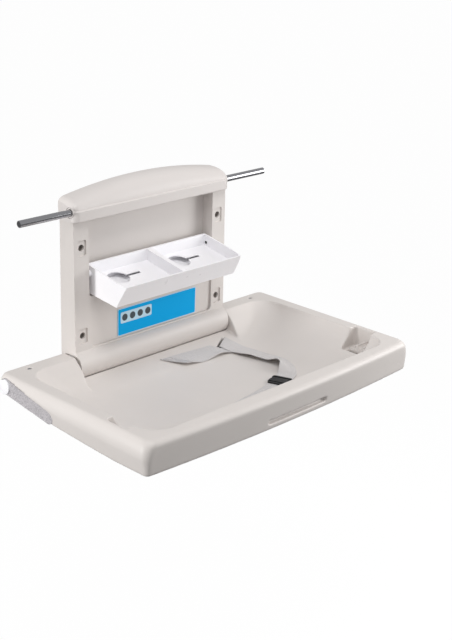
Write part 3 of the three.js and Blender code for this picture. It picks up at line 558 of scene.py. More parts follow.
def woven(name, colour):
    """Narrow webbing: ribs across and columns along, on the strip's own UV map in metres, with painted
    shade in the weave's hollows and a painted highlight on its crests.
    """
    material, tree, shader = material_shell(name)
    place = node(tree, "ShaderNodeTexCoord").outputs["UV"]
    ribs = node(tree, "ShaderNodeTexWave",
                {"Vector": place, "Scale": WEAVE.ribs, "Distortion": WEAVE.waver},
                bands_direction="Y", wave_profile="SIN")
    columns = node(tree, "ShaderNodeTexWave", {"Vector": place, "Scale": WEAVE.columns},
                   bands_direction="X", wave_profile="SIN")
    columns = remap(tree, columns.outputs["Fac"], 0, 1, WEAVE.column_dip, 1.0)
    weave = reckon(tree, "MULTIPLY", ribs.outputs["Fac"], columns)
    # Painted shade makes the hollows darker than the webbing's colour, and a painted highlight makes the
    # crests lighter
    hollow = (*[part * WEAVE.hollow for part in colour], 1)
    crest_highlight = (*[min(part * WEAVE.crest_highlight, 1) for part in colour], 1)
    bump = node(tree, "ShaderNodeBump", {
        "Strength": WEAVE.strength, "Distance": WEAVE.depth, "Height": weave})
    feed(tree, shader, {
        "Base Color": blend(tree, weave, hollow, crest_highlight, "MIX"), "Normal": bump.outputs["Normal"],
        "Roughness": WEAVE.roughness, "Sheen Weight": WEAVE.sheen})
    return material


def finish_of(name):
    """The station's material of that name, made once."""
    if name in bpy.data.materials:
        return bpy.data.materials[name]
    if name == "Webbing":
        return woven(name, colours().webbing)
    colour, roughness, extra = FINISHES[name]
    return moulded(name, getattr(colours(), colour), roughness, **extra)


# Bed

# Shell: slopes and powers of its curves, counts of steps, and its softening
UNDERSIDE_RUN = 4
BELLY_SWELL = 2.2
ARM_TAPER = 1.2
BASIN_SPREAD = 1.6
BASIN_SWELL = 0.65
BASIN_SHOULDER = 0.95
SHOULDER_RISE = 0.7
SHOULDER_FADE = 4
BASIN_STEPS = 44
EDGE_STEPS = 12
ROLL_STEPS = 24
SEARCH_ROUNDS = 30
BED_VOXEL = 2.4
BED_SMOOTHING = 4

COVER = SimpleNamespace(radius=18.5, front_radius=15, run=149, fall=24.5, seat=10, gap=0.8)
GROOVE = SimpleNamespace(x=12, z=-56, length=194, height=11, depth=14)
POCKET = SimpleNamespace(inset=24, width=56, length=62, depth=52, corner=10, spare=1.2)
SCREW_HOLE = SimpleNamespace(inset=72, radius=5.4, depth=14)
BELT_SLOT = SimpleNamespace(spare=2, half=5, depth=120)
CUT_PAST = 30


def plan_ring(half, front, rear, front_radius, rear_radius, bow, z):
    """Plan ring of the bed: round corners, front edge bowed outward."""
    corner_steps = 20
    bow_steps = 48
    side_steps = 24

    def bowed(x, y):
        share = clamp((front + front_radius - y) / front_radius)
        return y - bow * share * (1 - (x / half) ** 2)

    plan = arc(-half + front_radius, front + front_radius, front_radius, 180, 270, corner_steps)
    span = 2 * (half - front_radius)
    plan += [(-half + front_radius + span * k / bow_steps, front) for k in range(1, bow_steps)]
    plan += arc(half - front_radius, front + front_radius, front_radius, 270, 360, corner_steps)
    tall = rear - rear_radius - front - front_radius
    plan += [(half, front + front_radius + tall * k / side_steps) for k in range(1, side_steps)]
    plan += arc(half - rear_radius, rear - rear_radius, rear_radius, 0, 90, corner_steps)
    span = 2 * (half - rear_radius)
    plan += [(half - rear_radius - span * k / bow_steps, rear) for k in range(1, bow_steps)]
    plan += arc(-half + rear_radius, rear - rear_radius, rear_radius, 90, 180, corner_steps)
    plan += [(-half, rear - rear_radius - tall * k / side_steps) for k in range(1, side_steps)]
    return [(x, bowed(x, y), z) for x, y in plan]


def bed_rear(size, z):
    """Rear edge at height z: it stays within the circle that it turns in, and draws in below it."""
    rise = z - HINGE_Z
    if rise < -size.knuckle:
        return HINGE_Y - UNDERSIDE_RUN * (-size.knuckle - rise)
    return min(-size.rear, HINGE_Y + math.sqrt(size.knuckle ** 2 - rise ** 2))


def raise_arm(size, point):
    """At its ends the bed is shallow by the hinge and deepens to the front."""
    x, y, z = point
    back = clamp((y + size.arm_reach) / (size.arm_reach - size.rear))
    outward = smooth_step(abs(x), size.arm_inner, BED_END - size.draft)
    low = smooth_step(-z, 0, size.edge)
    return x, y, z + size.arm_raise * back ** ARM_TAPER * outward * low


def outer_ring(size, inset, z):
    """Ring of the bed's outside at height z: ends rolled over broadly, front corners sharper below."""
    def rolled(width, height):
        return width * (1 - math.sqrt(1 - clamp((z + height) / height) ** 2))

    def drafted(height):
        return inset + size.draft * clamp((-z - height) / (size.edge - height))

    half = BED_END - drafted(size.roll_height) - rolled(size.roll_width, size.roll_height)
    front = -size.reach + drafted(size.top_round) + rolled(size.top_round, size.top_round)
    rear = -size.rear - drafted(size.top_round) - rolled(size.rear_round, size.rear_round)
    corner = size.low_corner + (size.front_corner - size.low_corner) * clamp(1 + z / size.edge)
    ring = plan_ring(half, front, min(bed_rear(size, z), rear), corner, size.rear_corner, size.bow, z)
    return [raise_arm(size, point) for point in ring]


def basin_at(size, k):
    """Plan and depth of a basin ring, from the rim's inner edge to the floor."""
    t = (k / BASIN_STEPS) ** BASIN_SPREAD
    steep = t ** BASIN_SPREAD
    shoulder = BASIN_SHOULDER * t ** SHOULDER_RISE * (1 - t) ** SHOULDER_FADE
    return {
        "half": BED_END - size.side_rim - size.side_run * t,
        "front": -size.reach + size.front_rim + size.front_run * steep,
        "rear": -size.rear - size.rear_rim - size.rear_run * (steep + shoulder),
        "z": -size.basin * (1 - (1 - t) ** 2) ** BASIN_SWELL,
    }


def bed_rings(size):
    """Rings of the bed's shell: belly, lower edge, sides with their rolled top, and basin."""
    belly = -corner_mm("bed", LOW, Z) - size.edge
    rings = []
    for k in range(EDGE_STEPS):
        share = k / EDGE_STEPS
        inset = size.belly_inset + (size.lower_inset - size.belly_inset) * share
        rings.append(outer_ring(size, inset, -size.edge - belly * (1 - share ** BELLY_SWELL)))
    for k in range(EDGE_STEPS + 1):
        angle = math.pi / 2 * k / EDGE_STEPS
        inset = size.lower_inset * (1 - math.sin(angle))
        rings.append(outer_ring(size, inset, -size.edge + size.lower_round * (1 - math.cos(angle))))
    for k in range(ROLL_STEPS + 1):
        angle = math.pi / 2 * k / ROLL_STEPS
        rings.append(outer_ring(size, 0, -size.roll_height * (1 - math.sin(angle))))
    corner = size.basin_corner
    for k in range(BASIN_STEPS + 1):
        ring = basin_at(size, k)
        rings.append(plan_ring(ring["half"], ring["front"], ring["rear"], corner, corner, 0, ring["z"]))
    return rings


def basin_finder(size):
    """Function that gives the basin's height at (x, y), found between its rings."""
    rings = [basin_at(size, k) for k in range(BASIN_STEPS + 1)]
    corner = size.basin_corner

    def at(x, y, k):
        low = rings[math.floor(k)]
        high = rings[min(math.floor(k) + 1, BASIN_STEPS)]
        part = k - math.floor(k)
        ring = {key: low[key] + (high[key] - low[key]) * part for key in low}
        dx = max(abs(x) - ring["half"] + corner, 0)
        middle = (ring["front"] + ring["rear"]) / 2
        dy = max(abs(y - middle) - (ring["rear"] - ring["front"]) / 2 + corner, 0)
        return math.hypot(dx, dy) - corner, ring["z"]

    def basin(x, y):
        if at(x, y, BASIN_STEPS)[0] <= 0:
            return -size.basin
        outside, within = 0.0, float(BASIN_STEPS)
        for _ in range(SEARCH_ROUNDS):
            middle = (outside + within) / 2
            if at(x, y, middle)[0] > 0:
                within = middle
            else:
                outside = middle
        return at(x, y, outside)[1]

    return basin


def ramp_line(size):
    """Both ends of the ramp before the barrel, as (y, z), and the angle of its upper end on the notch."""
    angle = math.asin((size.ramp_lip + HINGE_Z) / size.notch_radius)
    lip = (HINGE_Y - size.notch_radius * math.cos(angle), -size.ramp_lip)
    foot = (-size.ramp_reach, basin_finder(size)(0, -size.ramp_reach))
    return lip, foot, math.degrees(angle)


def floor_finder(size):
    """Function that gives the floor's height at (x, y): the basin's, or the ramp's where that is lower."""
    basin = basin_finder(size)
    lip, foot, _ = ramp_line(size)
    notch_end = FRAME_END + size.notch_gap

    def floor(x, y):
        level = basin(x, y)
        if abs(x) > notch_end or y < foot[0]:
            return level
        share = (y - lip[0]) / (foot[0] - lip[0])
        return min(level, lip[1] + (foot[1] - lip[1]) * share)

    return floor


def cover_outline(grow):
    """Outline of an end cover in (y, z): round about the axle, tapering down to the front."""
    run, fall = COVER.run, COVER.fall
    heading = math.degrees(math.atan2(-fall, -run))
    spread = math.degrees(math.acos((COVER.radius - COVER.front_radius) / math.hypot(run, fall)))
    outline = arc(HINGE_Y, HINGE_Z, COVER.radius + grow, heading + spread, heading - spread + 360, steps=40)
    outline += arc(HINGE_Y - run, HINGE_Z - fall, COVER.front_radius + grow,
                   heading - spread, heading + spread, steps=30)
    return outline


def notch_cutter(size):
    """Space of the barrel, and the ramp in front of it."""
    end, radius = FRAME_END + size.notch_gap, size.notch_radius
    _, foot, angle = ramp_line(size)
    notch = arc(HINGE_Y, HINGE_Z, radius, 180 + angle, 270, steps=24)
    notch += [(radius, HINGE_Z - radius), (radius, CUT_PAST), (foot[0], CUT_PAST), foot]
    return prism("notch", notch, "X", -end, end)


def end_cutters(sign):
    """Latch pocket, seat of the end cover and screw hole at one end of the bed."""
    outer, spare = BED_END - POCKET.inset, POCKET.spare
    rear = corner_mm("latch_catch_left", LOW, Y) - CLEARANCE
    x0, x1 = sorted((sign * (outer - POCKET.width), sign * (outer + spare)))
    pocket = rounded_rect(x0, rear - spare, x1, rear + POCKET.length, POCKET.corner)
    low, high = sorted((sign * (BED_END - COVER.seat), sign * (BED_END + CUT_PAST)))
    hole = circle(sign * (BED_END - SCREW_HOLE.inset), HINGE_Y, SCREW_HOLE.radius, sides=24)
    return [
        prism("pocket", pocket, "Z", -POCKET.depth - spare, CUT_PAST),
        prism("seat", cover_outline(COVER.gap), "X", low, high),
        prism("screw_hole", hole, "Z", -SCREW_HOLE.depth, CUT_PAST),
    ]


def groove_cutter(size):
    """Finger groove low on the front face."""
    front = -size.reach - size.bow
    x, z = GROOVE.x, GROOVE.z
    half, tall = GROOVE.length / 2, GROOVE.height / 2
    groove = rounded_rect(x - half, z - tall, x + half, z + tall, tall)
    return prism("groove", groove, "Y", front - CUT_PAST, front + GROOVE.depth)


def slot_cutter(width, x, y, turn):
    """Slot that a belt goes down through, turned about its middle."""
    wide, half = width / 2 + BELT_SLOT.spare, BELT_SLOT.half
    turned = Matrix.Rotation(math.radians(turn), 2)
    hole = rounded_rect(-wide, -half, wide, half, half)
    outline = [tuple(turned @ Vector(point) + Vector((x, y))) for point in hole]
    return prism("belt_slot", outline, "Z", -BELT_SLOT.depth, 0)


class STATION_OT_bed(bpy.types.Operator):
    """Make the moulded bed with its basin, notch, pockets and finger groove"""
    bl_idname = "station.bed"
    bl_label = "Bed"

    def execute(self, context):
        size = bed_sizes()
        belt = belt_sizes()
        leaving = math.degrees(math.atan2(BELT_LEAVE[0], -BELT_LEAVE[1]))
        bed = loft("bed_shell", bed_rings(size))
        cutters = [notch_cutter(size)]
        for sign in SIDES.values():
            cutters += end_cutters(sign)
        cutters += [
            groove_cutter(size),
            slot_cutter(belt.width, belt.slot_x, belt.slot_y, leaving),
            slot_cutter(belt.width, belt.front_x, belt.front_y, 0),
        ]
        carve(bed, cutters)
        soften(bed, BED_VOXEL, BED_SMOOTHING)
        finish_piece(bed, "Moulded cream", "bed", "cream", "bed")
        return {"FINISHED"}


# Wall frame

FRAME = SimpleNamespace(
    top_depth=47, base_depth=51.5, post=44, panel=14, lower_panel=46, corner=12,
    recess_bottom=134, recess_past=40, shallow_bottom=12, shallow_lap=20,
    hole_inset=24, hole_high=255, hole_low=45, hole=4.5, seat=8, seat_depth=28,
    pad_width=25, pad_height=37, pad_depth=3, pad_corner=4, hollow=14, skin=5,
    barrel=38, bore=24, bore_past=5, plate_slack=0.4,
)
POST_INNER = FRAME_END - FRAME.post
CUT_AHEAD = -90
CUT_BEHIND = 10


def frame_body():
    """Section of the frame, with the barrel at its foot, drawn out from end to end."""
    barrel, base = FRAME.barrel, FRAME.base_depth
    shoulder = math.sqrt(barrel ** 2 - (base + HINGE_Y) ** 2)
    start = math.degrees(math.atan2(shoulder, -HINGE_Y - base))
    side = [(0, FRAME_TOP), (-FRAME.top_depth, FRAME_TOP)]
    side += arc(HINGE_Y, HINGE_Z, barrel, start, 270, steps=40)
    side += [(0, HINGE_Z - barrel)]
    return prism("wall_frame_shell", side, "X", -FRAME_END, FRAME_END)


def panel_cutters():
    """Recess between the posts, the shallow panel below it, and the barrel's bore."""
    corner, bottom = FRAME.corner, FRAME.recess_bottom
    recess = rounded_rect(-POST_INNER, bottom, POST_INNER, FRAME_TOP + FRAME.recess_past, corner)
    shallow = rounded_rect(
        -POST_INNER, FRAME.shallow_bottom, POST_INNER, bottom + FRAME.shallow_lap, corner)
    bore_end = FRAME_END + FRAME.bore_past
    return [
        prism("recess", recess, "Y", CUT_AHEAD, -FRAME.panel),
        prism("shallow", shallow, "Y", CUT_AHEAD, -FRAME.lower_panel),
        prism("bore", circle(HINGE_Y, HINGE_Z, FRAME.bore), "X", -bore_end, bore_end),
    ]


def bolt_cutters(x, z):
    """Bolt hole with its seat, the hollow behind the skin, and the sunk pad round it."""
    front = FRAME.base_depth + (FRAME.top_depth - FRAME.base_depth) * z / FRAME_TOP
    seat_floor = -front + FRAME.seat_depth
    pad_floor = -front + FRAME.pad_depth
    wide, tall = FRAME.pad_width / 2, FRAME.pad_height / 2
    pad = rounded_rect(x - wide, z - tall, x + wide, z + tall, FRAME.pad_corner)
    return [
        prism("hole", circle(x, z, FRAME.hole, sides=24), "Y", CUT_AHEAD, CUT_BEHIND),
        prism("seat", circle(x, z, FRAME.seat, sides=30), "Y", CUT_AHEAD, seat_floor),
        prism("hollow", circle(x, z, FRAME.hollow, sides=30), "Y", pad_floor + FRAME.skin, seat_floor),
        prism("pad", pad, "Y", CUT_AHEAD, pad_floor),
    ]


def plate_cutter(plate):
    """Seat of a steel plate in the frame's rear."""
    slack = FRAME.plate_slack
    x0, y0, z0 = [corner_mm(plate, LOW, axis) - slack for axis in (X, Y, Z)]
    x1, z1 = [corner_mm(plate, HIGH, axis) + slack for axis in (X, Z)]
    return prism("plate_seat", [(x0, z0), (x1, z0), (x1, z1), (x0, z1)], "Y", y0, CUT_BEHIND)


class STATION_OT_wall_frame(bpy.types.Operator):
    """Make the wall frame with its posts, recesses, bolt holes and barrel, and finish what it holds"""
    bl_idname = "station.wall_frame"
    bl_label = "Wall frame"

    def execute(self, context):
        cutters = panel_cutters()
        for sign in SIDES.values():
            for z in (FRAME.hole_low, FRAME.hole_high):
                cutters += bolt_cutters(sign * (FRAME_END - FRAME.hole_inset), z)
        cutters += [plate_cutter(f"mounting_plate_{word}") for word in SIDES]
        body = carve(frame_body(), cutters)
        crisp(body)
        finish_piece(body, "Moulded cream", "wall", "cream", "wall_frame")
        for word in SIDES:
            coat_node(f"mounting_plate_{word}", "Plain steel")
            coat_node(f"barrel_bush_{word}", "Smooth white")
            coat_node(f"damper_{word}", "Black plastic")
        return {"FINISHED"}


# Hood and latch rod

HOOD = SimpleNamespace(
    crease=345, peak=391, end_drop=24, end_round=16, end_turn=87, end_fall=0.6,
    dome=0.8, lip=3, overhang=4, depth=58,
)
HOOD_END = FRAME_END + HOOD.overhang
ROD_CHAMFER = 1.2
GROMMET = SimpleNamespace(gap=0.5, past=6, edge=1, edge_cut=0.3, mouth=0.6)


def hood_section(x):
    """Section of the hood at x: lip band below the crease, quarter-dome above it."""
    past = max(abs(x) - (HOOD_END - HOOD.end_round), 0)
    pull = HOOD.end_round - math.sqrt(max(HOOD.end_round ** 2 - past ** 2, 0))
    depth = HOOD.depth - pull
    top = HOOD.peak - HOOD.end_drop * (x / HOOD_END) ** 2 - pull * HOOD.end_fall
    low = FRAME_TOP + CLEARANCE
    lip = HOOD.lip
    section = [(0, low)]
    section += arc(-depth + lip, low + lip, lip, 270, 180, steps=6)
    section += arc(-depth + lip, HOOD.crease - lip, lip, 180, 150, steps=3)
    steps = 28
    for k in range(steps + 1):
        angle = math.pi / 2 * k / steps
        y = -(depth - lip) * max(math.cos(angle), 0) ** HOOD.dome
        section.append((y, HOOD.crease + (top - HOOD.crease) * math.sin(angle)))
    return [(x, y, z) for y, z in section]


def hood_places():
    """Places of the hood's sections along X, closer together at its round ends."""
    end_steps = 14
    middle_steps = 30
    straight = HOOD_END - HOOD.end_round
    ends = []
    for k in range(1, end_steps + 1):
        ends.append(straight + HOOD.end_round * math.sin(math.radians(HOOD.end_turn * k / end_steps)))
    middle = [straight * k / middle_steps for k in range(-middle_steps, middle_steps + 1)]
    return [-x for x in reversed(ends)] + middle + ends


class STATION_OT_hood(bpy.types.Operator):
    """Make the domed hood over the latch rod"""
    bl_idname = "station.hood"
    bl_label = "Hood"

    def execute(self, context):
        hood = loft("hood_shell", [hood_section(x) for x in hood_places()])
        bores = []
        for word in SIDES:
            grommet = f"rod_grommet_{word}"
            bore = circle(ROD_Y, ROD_Z, round_radius(grommet) + GROMMET.gap)
            low = corner_mm(grommet, LOW, X) - GROMMET.past
            high = corner_mm(grommet, HIGH, X) + GROMMET.past
            bores.append(prism("bore", bore, "X", low, high))
        carve(hood, bores)
        crisp(hood)
        finish_piece(hood, "Moulded hood", "wall", "pale_cream", "hood_cover")
        return {"FINISHED"}


def grommet_profile(grommet):
    """Closed profile of a grommet: outer edge rounded over, mouth of the bore eased."""
    inner, outer = side_span(grommet)
    sleeve, bore = round_radius(grommet), ROD_RADIUS + CLEARANCE
    edge, cut, mouth = GROMMET.edge, GROMMET.edge_cut, GROMMET.mouth
    return [(inner, sleeve), (outer - edge, sleeve), (outer - cut, sleeve - cut), (outer, sleeve - edge),
            (outer, bore + mouth), (outer - mouth, bore), (inner, bore)]


class STATION_OT_latch(bpy.types.Operator):
    """Make the latch rod and its grommets, and finish the catches that it seats in"""
    bl_idname = "station.latch"
    bl_label = "Latch rod and catches"

    def execute(self, context):
        end, radius, chamfer = ROD_END, ROD_RADIUS, ROD_CHAMFER
        profile = [(-end, radius - chamfer), (-end + chamfer, radius),
                   (end - chamfer, radius), (end, radius - chamfer)]
        rod = lathe_x("rod_bar", profile, ROD_Y, ROD_Z)
        shade(rod, angle=30)
        finish_piece(rod, "Chrome", "wall", "chrome", "latch_rod")
        for word, sign in SIDES.items():
            grommet = f"rod_grommet_{word}"
            profile = [(sign * x, radius) for x, radius in grommet_profile(grommet)]
            piece = lathe_x(f"grommet_{word}", profile, ROD_Y, ROD_Z, sides=48, closed=True)
            shade(piece, angle=40)
            finish_piece(piece, "Moulded hood", "wall", "cream", grommet)
            coat_node(f"latch_catch_{word}", "Moulded cream")
            coat_node(f"catch_screw_{word}", "Black plastic")
        return {"FINISHED"}


# Dispenser

TRAY = SimpleNamespace(
    rear=-30, rear_top=209, rear_bottom=141, front_top_y=-162, front_top=183,
    front_bottom_y=-133, front_bottom=130, gap=8, wall=4, shelf=3, floor=3,
    divider=14, round=7, corner_run=11, spare=1, past=60, slab_past=5,
    lid_drop=26, lid=2.5, well=12, boss=8, boss_gap=0.8,
    eye_length=60, eye_width=54, eye_y=-73, eye_tip=22,
    slit_start=7, slit_end=57, slit_width=9,
)
TRAY_END = POST_INNER - TRAY.gap
TRAY_SLOPE = (TRAY.rear_top - TRAY.front_top) / (TRAY.rear - TRAY.front_top_y)
LID_SEAT = TRAY.lid_drop + TRAY.lid + CLEARANCE
WELL_FLOOR = LID_SEAT + TRAY.well


def rim_height(y):
    return TRAY.rear_top - (TRAY.rear - y) * TRAY_SLOPE


def tray_plan(wall):
    """Plan of the tray drawn in by a wall, with its round front corners."""
    corner_steps = 12
    half = TRAY_END - wall
    front = TRAY.front_top_y - TRAY.spare + wall
    rear = TRAY.rear + TRAY.spare
    bend = TRAY.front_bottom_y + TRAY.round

    def corner(sign):
        points = []
        for k in range(corner_steps + 1):
            t = k / corner_steps
            x = half - t ** 2 * TRAY.corner_run
            y = (1 - t) ** 2 * bend + (2 * t * (1 - t) + t ** 2) * front
            points.append((sign * x, y))
        return points

    return [(half, rear)] + corner(1) + list(reversed(corner(-1))) + [(-half, rear)]


def tray_inside(name, low, high, wall):
    """Space inside the tray's walls, open above and below."""
    lean = (TRAY.front_top_y - TRAY.front_bottom_y) / (TRAY.front_top - TRAY.front_bottom)

    def front(z):
        return TRAY.front_bottom_y + lean * (z - TRAY.front_bottom) + wall

    rear = TRAY.rear - wall
    bottom, top = TRAY.front_bottom - TRAY.past, TRAY.rear_top + TRAY.past
    section = [(rear, bottom), (rear, top), (front(top), top), (front(bottom), bottom)]
    plan = prism("plan", tray_plan(wall), "Z", bottom - TRAY.spare, top + TRAY.spare)
    return carve(prism(name, section, "X", low, high), [plan], "INTERSECT")


def tray_layer(name, low, high, wall, drop0, drop1):
    """Space inside the walls, parallel to the rim from one depth below it to another."""
    y0, y1 = TRAY.rear + TRAY.spare, TRAY.front_top_y - TRAY.past
    fall = math.sqrt(1 + TRAY_SLOPE ** 2)
    section = [(y0, rim_height(y0) - drop0 * fall), (y1, rim_height(y1) - drop0 * fall),
               (y1, rim_height(y1) - drop1 * fall), (y0, rim_height(y0) - drop1 * fall)]
    end = TRAY_END + TRAY.slab_past
    slab = prism("slab", section, "X", -end, end)
    return carve(tray_inside(name, low, high, wall), [slab], "INTERSECT")


def eye_outline(left, right):
    """Opening in a lid: round at one end, pointed at the other, with a slit running on from each."""
    slit, radius, y = TRAY.slit_width / 2, TRAY.eye_width / 2, TRAY.eye_y
    tip = left + TRAY.eye_tip
    middle = tip + TRAY.eye_length - radius
    flank = math.degrees(math.acos(radius / (middle - tip)))
    mouth = math.degrees(math.asin(slit / radius))
    taper = tip + slit * math.tan(math.radians(flank))
    end, start = right - TRAY.slit_end, left + TRAY.slit_start
    outline = [(end, y - slit), (end, y + slit)] + arc(middle, y, radius, mouth, 180 - flank, steps=24)
    outline += [(taper, y + slit), (start, y + slit), (start, y - slit), (taper, y - slit)]
    return outline + arc(middle, y, radius, 180 + flank, 360 - mouth, steps=24)


def dispenser_tray():
    """Tray with a seat and a well in each half, hollow below, and a boss at each end."""
    wall, shelf, past, middle = TRAY.wall, TRAY.shelf, TRAY.past, TRAY.divider / 2
    section = [(TRAY.rear, TRAY.rear_bottom), (TRAY.rear, TRAY.rear_top),
               (TRAY.front_top_y, TRAY.front_top), (TRAY.front_bottom_y, TRAY.front_bottom)]
    plan = prism("plan", tray_plan(0), "Z", TRAY.front_bottom - past, TRAY.rear_top + past)
    tray = carve(prism("tray_shell", section, "X", -TRAY_END, TRAY_END), [plan], "INTERSECT")
    inner = TRAY_END - wall
    for sign in SIDES.values():
        low, high = sorted((sign * (TRAY_END - TRAY.spare), sign * (POST_INNER - TRAY.boss_gap)))
        carve(tray, [prism("boss", circle(PIVOT_Y, PIVOT_Z, TRAY.boss, sides=30), "X", low, high)], "UNION")
        low, high = sorted((sign * middle, sign * inner))
        seat = tray_layer("seat", low, high, wall, -past, LID_SEAT)
        low, high = sorted((sign * (middle + shelf), sign * (inner - shelf)))
        well = tray_layer("well", low, high, wall + shelf, TRAY.lid_drop, WELL_FLOOR)
        carve(tray, [seat, well])
    return carve(tray, [tray_layer("under", -inner, inner, wall, WELL_FLOOR + TRAY.floor, 2 * past)])


def dispenser_lid(word, sign):
    """Lid over one half of the tray, with its eye."""
    wall = TRAY.wall + CLEARANCE
    low, high = sorted((sign * (TRAY.divider / 2 + CLEARANCE), sign * (TRAY_END - wall)))
    lid = tray_layer(f"lid_{word}", low, high, wall, TRAY.lid_drop, TRAY.lid_drop + TRAY.lid)
    carve(lid, [prism("eye", eye_outline(low, high), "Z", TRAY.front_bottom, TRAY.rear_top)])
    return bevel(lid, width=0.5, segments=2, angle=40)


class STATION_OT_dispenser(bpy.types.Operator):
    """Make the liner dispenser's tray and two lids, and finish its pivot pins"""
    bl_idname = "station.dispenser"
    bl_label = "Liner dispenser"

    def execute(self, context):
        finish_piece(crisp(dispenser_tray()), "Smooth white", "dispenser", "white", "dispenser_tray")
        for word, sign in SIDES.items():
            lid = dispenser_lid(word, sign)
            finish_piece(lid, "Smooth white", "dispenser", "white", f"dispenser_lid_{word}")
            coat_node(f"dispenser_pin_{word}", "Plain steel")
        return {"FINISHED"}


# Hinge trim

CAP = SimpleNamespace(gap=0.4, hole_past=5, edge=1.6, turn=1.1, turn_cut=0.3, rim=1.0, dome=0.9)


def cap_profile(cap):
    """Profile of an axle cap: straight side, eased edge and a shallow dome."""
    dome_steps = 8
    radius = round_radius(cap)
    inner, outer = side_span(cap)
    flat = radius - CAP.rim
    profile = [(inner, radius), (outer - CAP.edge, radius),
               (outer - CAP.turn, radius - CAP.turn_cut), (outer - CAP.dome, flat)]
    for k in range(1, dome_steps + 1):
        share = 1 - k / dome_steps
        profile.append((outer - CAP.dome * share ** 2, flat * share))
    return profile


class STATION_OT_hinge(bpy.types.Operator):
    """Make the end covers and axle caps, and finish the axle, washers and screws"""
    bl_idname = "station.hinge"
    bl_label = "Hinge trim"

    def execute(self, context):
        for word, sign in SIDES.items():
            cover_node, cap_node = f"end_cover_{word}", f"axle_cap_{word}"
            low, high = corner_mm(cover_node, LOW, X), corner_mm(cover_node, HIGH, X)
            cover = prism(f"cover_{word}", cover_outline(0), "X", low, high)
            hole = circle(HINGE_Y, HINGE_Z, round_radius(cap_node) + CAP.gap)
            carve(cover, [prism("cap_hole", hole, "X", low - CAP.hole_past, high + CAP.hole_past)])
            bevel(cover, width=1.0, segments=3, angle=35)
            finish_piece(cover, "Granular panel", "bed", "grey_panel", cover_node)
            profile = [(sign * x, radius) for x, radius in cap_profile(cap_node)]
            cap = lathe_x(f"cap_{word}", profile, HINGE_Y, HINGE_Z)
            shade(cap, angle=50)
            finish_piece(cap, "Smooth white", "bed", "white", cap_node)
            coat_node(f"thrust_washer_{word}", "Black plastic")
            coat_node(f"axle_screw_{word}", "Plain steel")
        coat_node("hinge_axle", "Plain steel")
        return {"FINISHED"}


# Belt

# Long belt: handles of its curve, tilt of its inner edge in degrees, and where along it the bend is
BELT_LEAVE = (45, -90)
BELT_ARRIVE = (110, 40)
BELT_TILT = 11
BELT_BEND_TILT = 30
BELT_BEND = 0.78
BELT_BEND_CORE = 20
BELT_BEND_END = 75

# Front belt: handles of its curve as shares of its span, and its gap to the buckle
FRONT_LEAVE = 0.5
FRONT_ARRIVE = 0.2
FRONT_GAP = 2

TAIL_CURL_POWER = 1.5
STRIP_STEP = 2.2
STRIP_FEWEST = 8
STRIP_COLUMNS = 14
STRIP_EDGE = 0.5
STITCH = SimpleNamespace(
    step=3.4, thread=0.45, stretch=3.2, segments=8, rings=6, inset=4.0, hem=24.0, lift=0.15, run=2)
UP = (0.0, 0.0, 1.0)


def strip(name, length, place):
    """Webbing strip with round edges and a UV map in metres: place(s, w) gives a spot and the way up."""
    size = belt_sizes()
    half = size.width / 2
    inside = half - STRIP_EDGE
    straight = length - 2 * size.turn
    count = max(int(straight / STRIP_STEP), STRIP_FEWEST)
    along = [0.0] + [size.turn + straight * k / count for k in range(count + 1)] + [length]
    row = [size.width * (j / STRIP_COLUMNS - 0.5) for j in range(STRIP_COLUMNS + 1)]
    section = [(w, 0.0) for w in row] + [(half + STRIP_EDGE, 0.5)]
    section += [(w, 1.0) for w in reversed(row)] + [(-half - STRIP_EDGE, 0.5)]
    points, marks = [], []
    for s in along:
        side = (Vector(place(s, inside)[0]) - Vector(place(s, -inside)[0])).normalized()
        for w, share in section:
            within = clamp(w, -inside, inside)
            spot, way = place(s, within)
            points.append(Vector(spot) + Vector(way) * size.thickness * share + side * (w - within))
            marks.append((w * MM, s * MM))
    mesh = bpy.data.meshes.new(name)
    mesh.from_pydata([point * MM for point in points], [], skin(len(along), len(section)))
    layer = mesh.uv_layers.new(name="Webbing")
    for loop in mesh.loops:
        layer.data[loop.index].uv = marks[loop.vertex_index]
    with editing(mesh) as shape:
        bmesh.ops.recalc_face_normals(shape, faces=shape.faces)
    return shade(place_object(name, mesh), angle=60)


def bezier_path(controls):
    """Function that gives the spot and way at a length along a plan curve, and the curve's length."""
    a, b, c, d = [Vector(point) for point in controls]

    def at(t):
        spot = a * (1 - t) ** 3 + b * 3 * t * (1 - t) ** 2 + c * 3 * t * t * (1 - t) + d * t ** 3
        way = (b - a) * 3 * (1 - t) ** 2 + (c - b) * 6 * t * (1 - t) + (d - c) * 3 * t * t
        return spot, way.normalized()

    samples = 200
    run = [0.0]
    for k in range(samples):
        run.append(run[-1] + (at((k + 1) / samples)[0] - at(k / samples)[0]).length)

    def along(s):
        k = next((i for i in range(samples) if run[i + 1] >= s), samples - 1)
        part = clamp((s - run[k]) / (run[k + 1] - run[k]))
        return at((k + part) / samples)

    return along, run[-1]


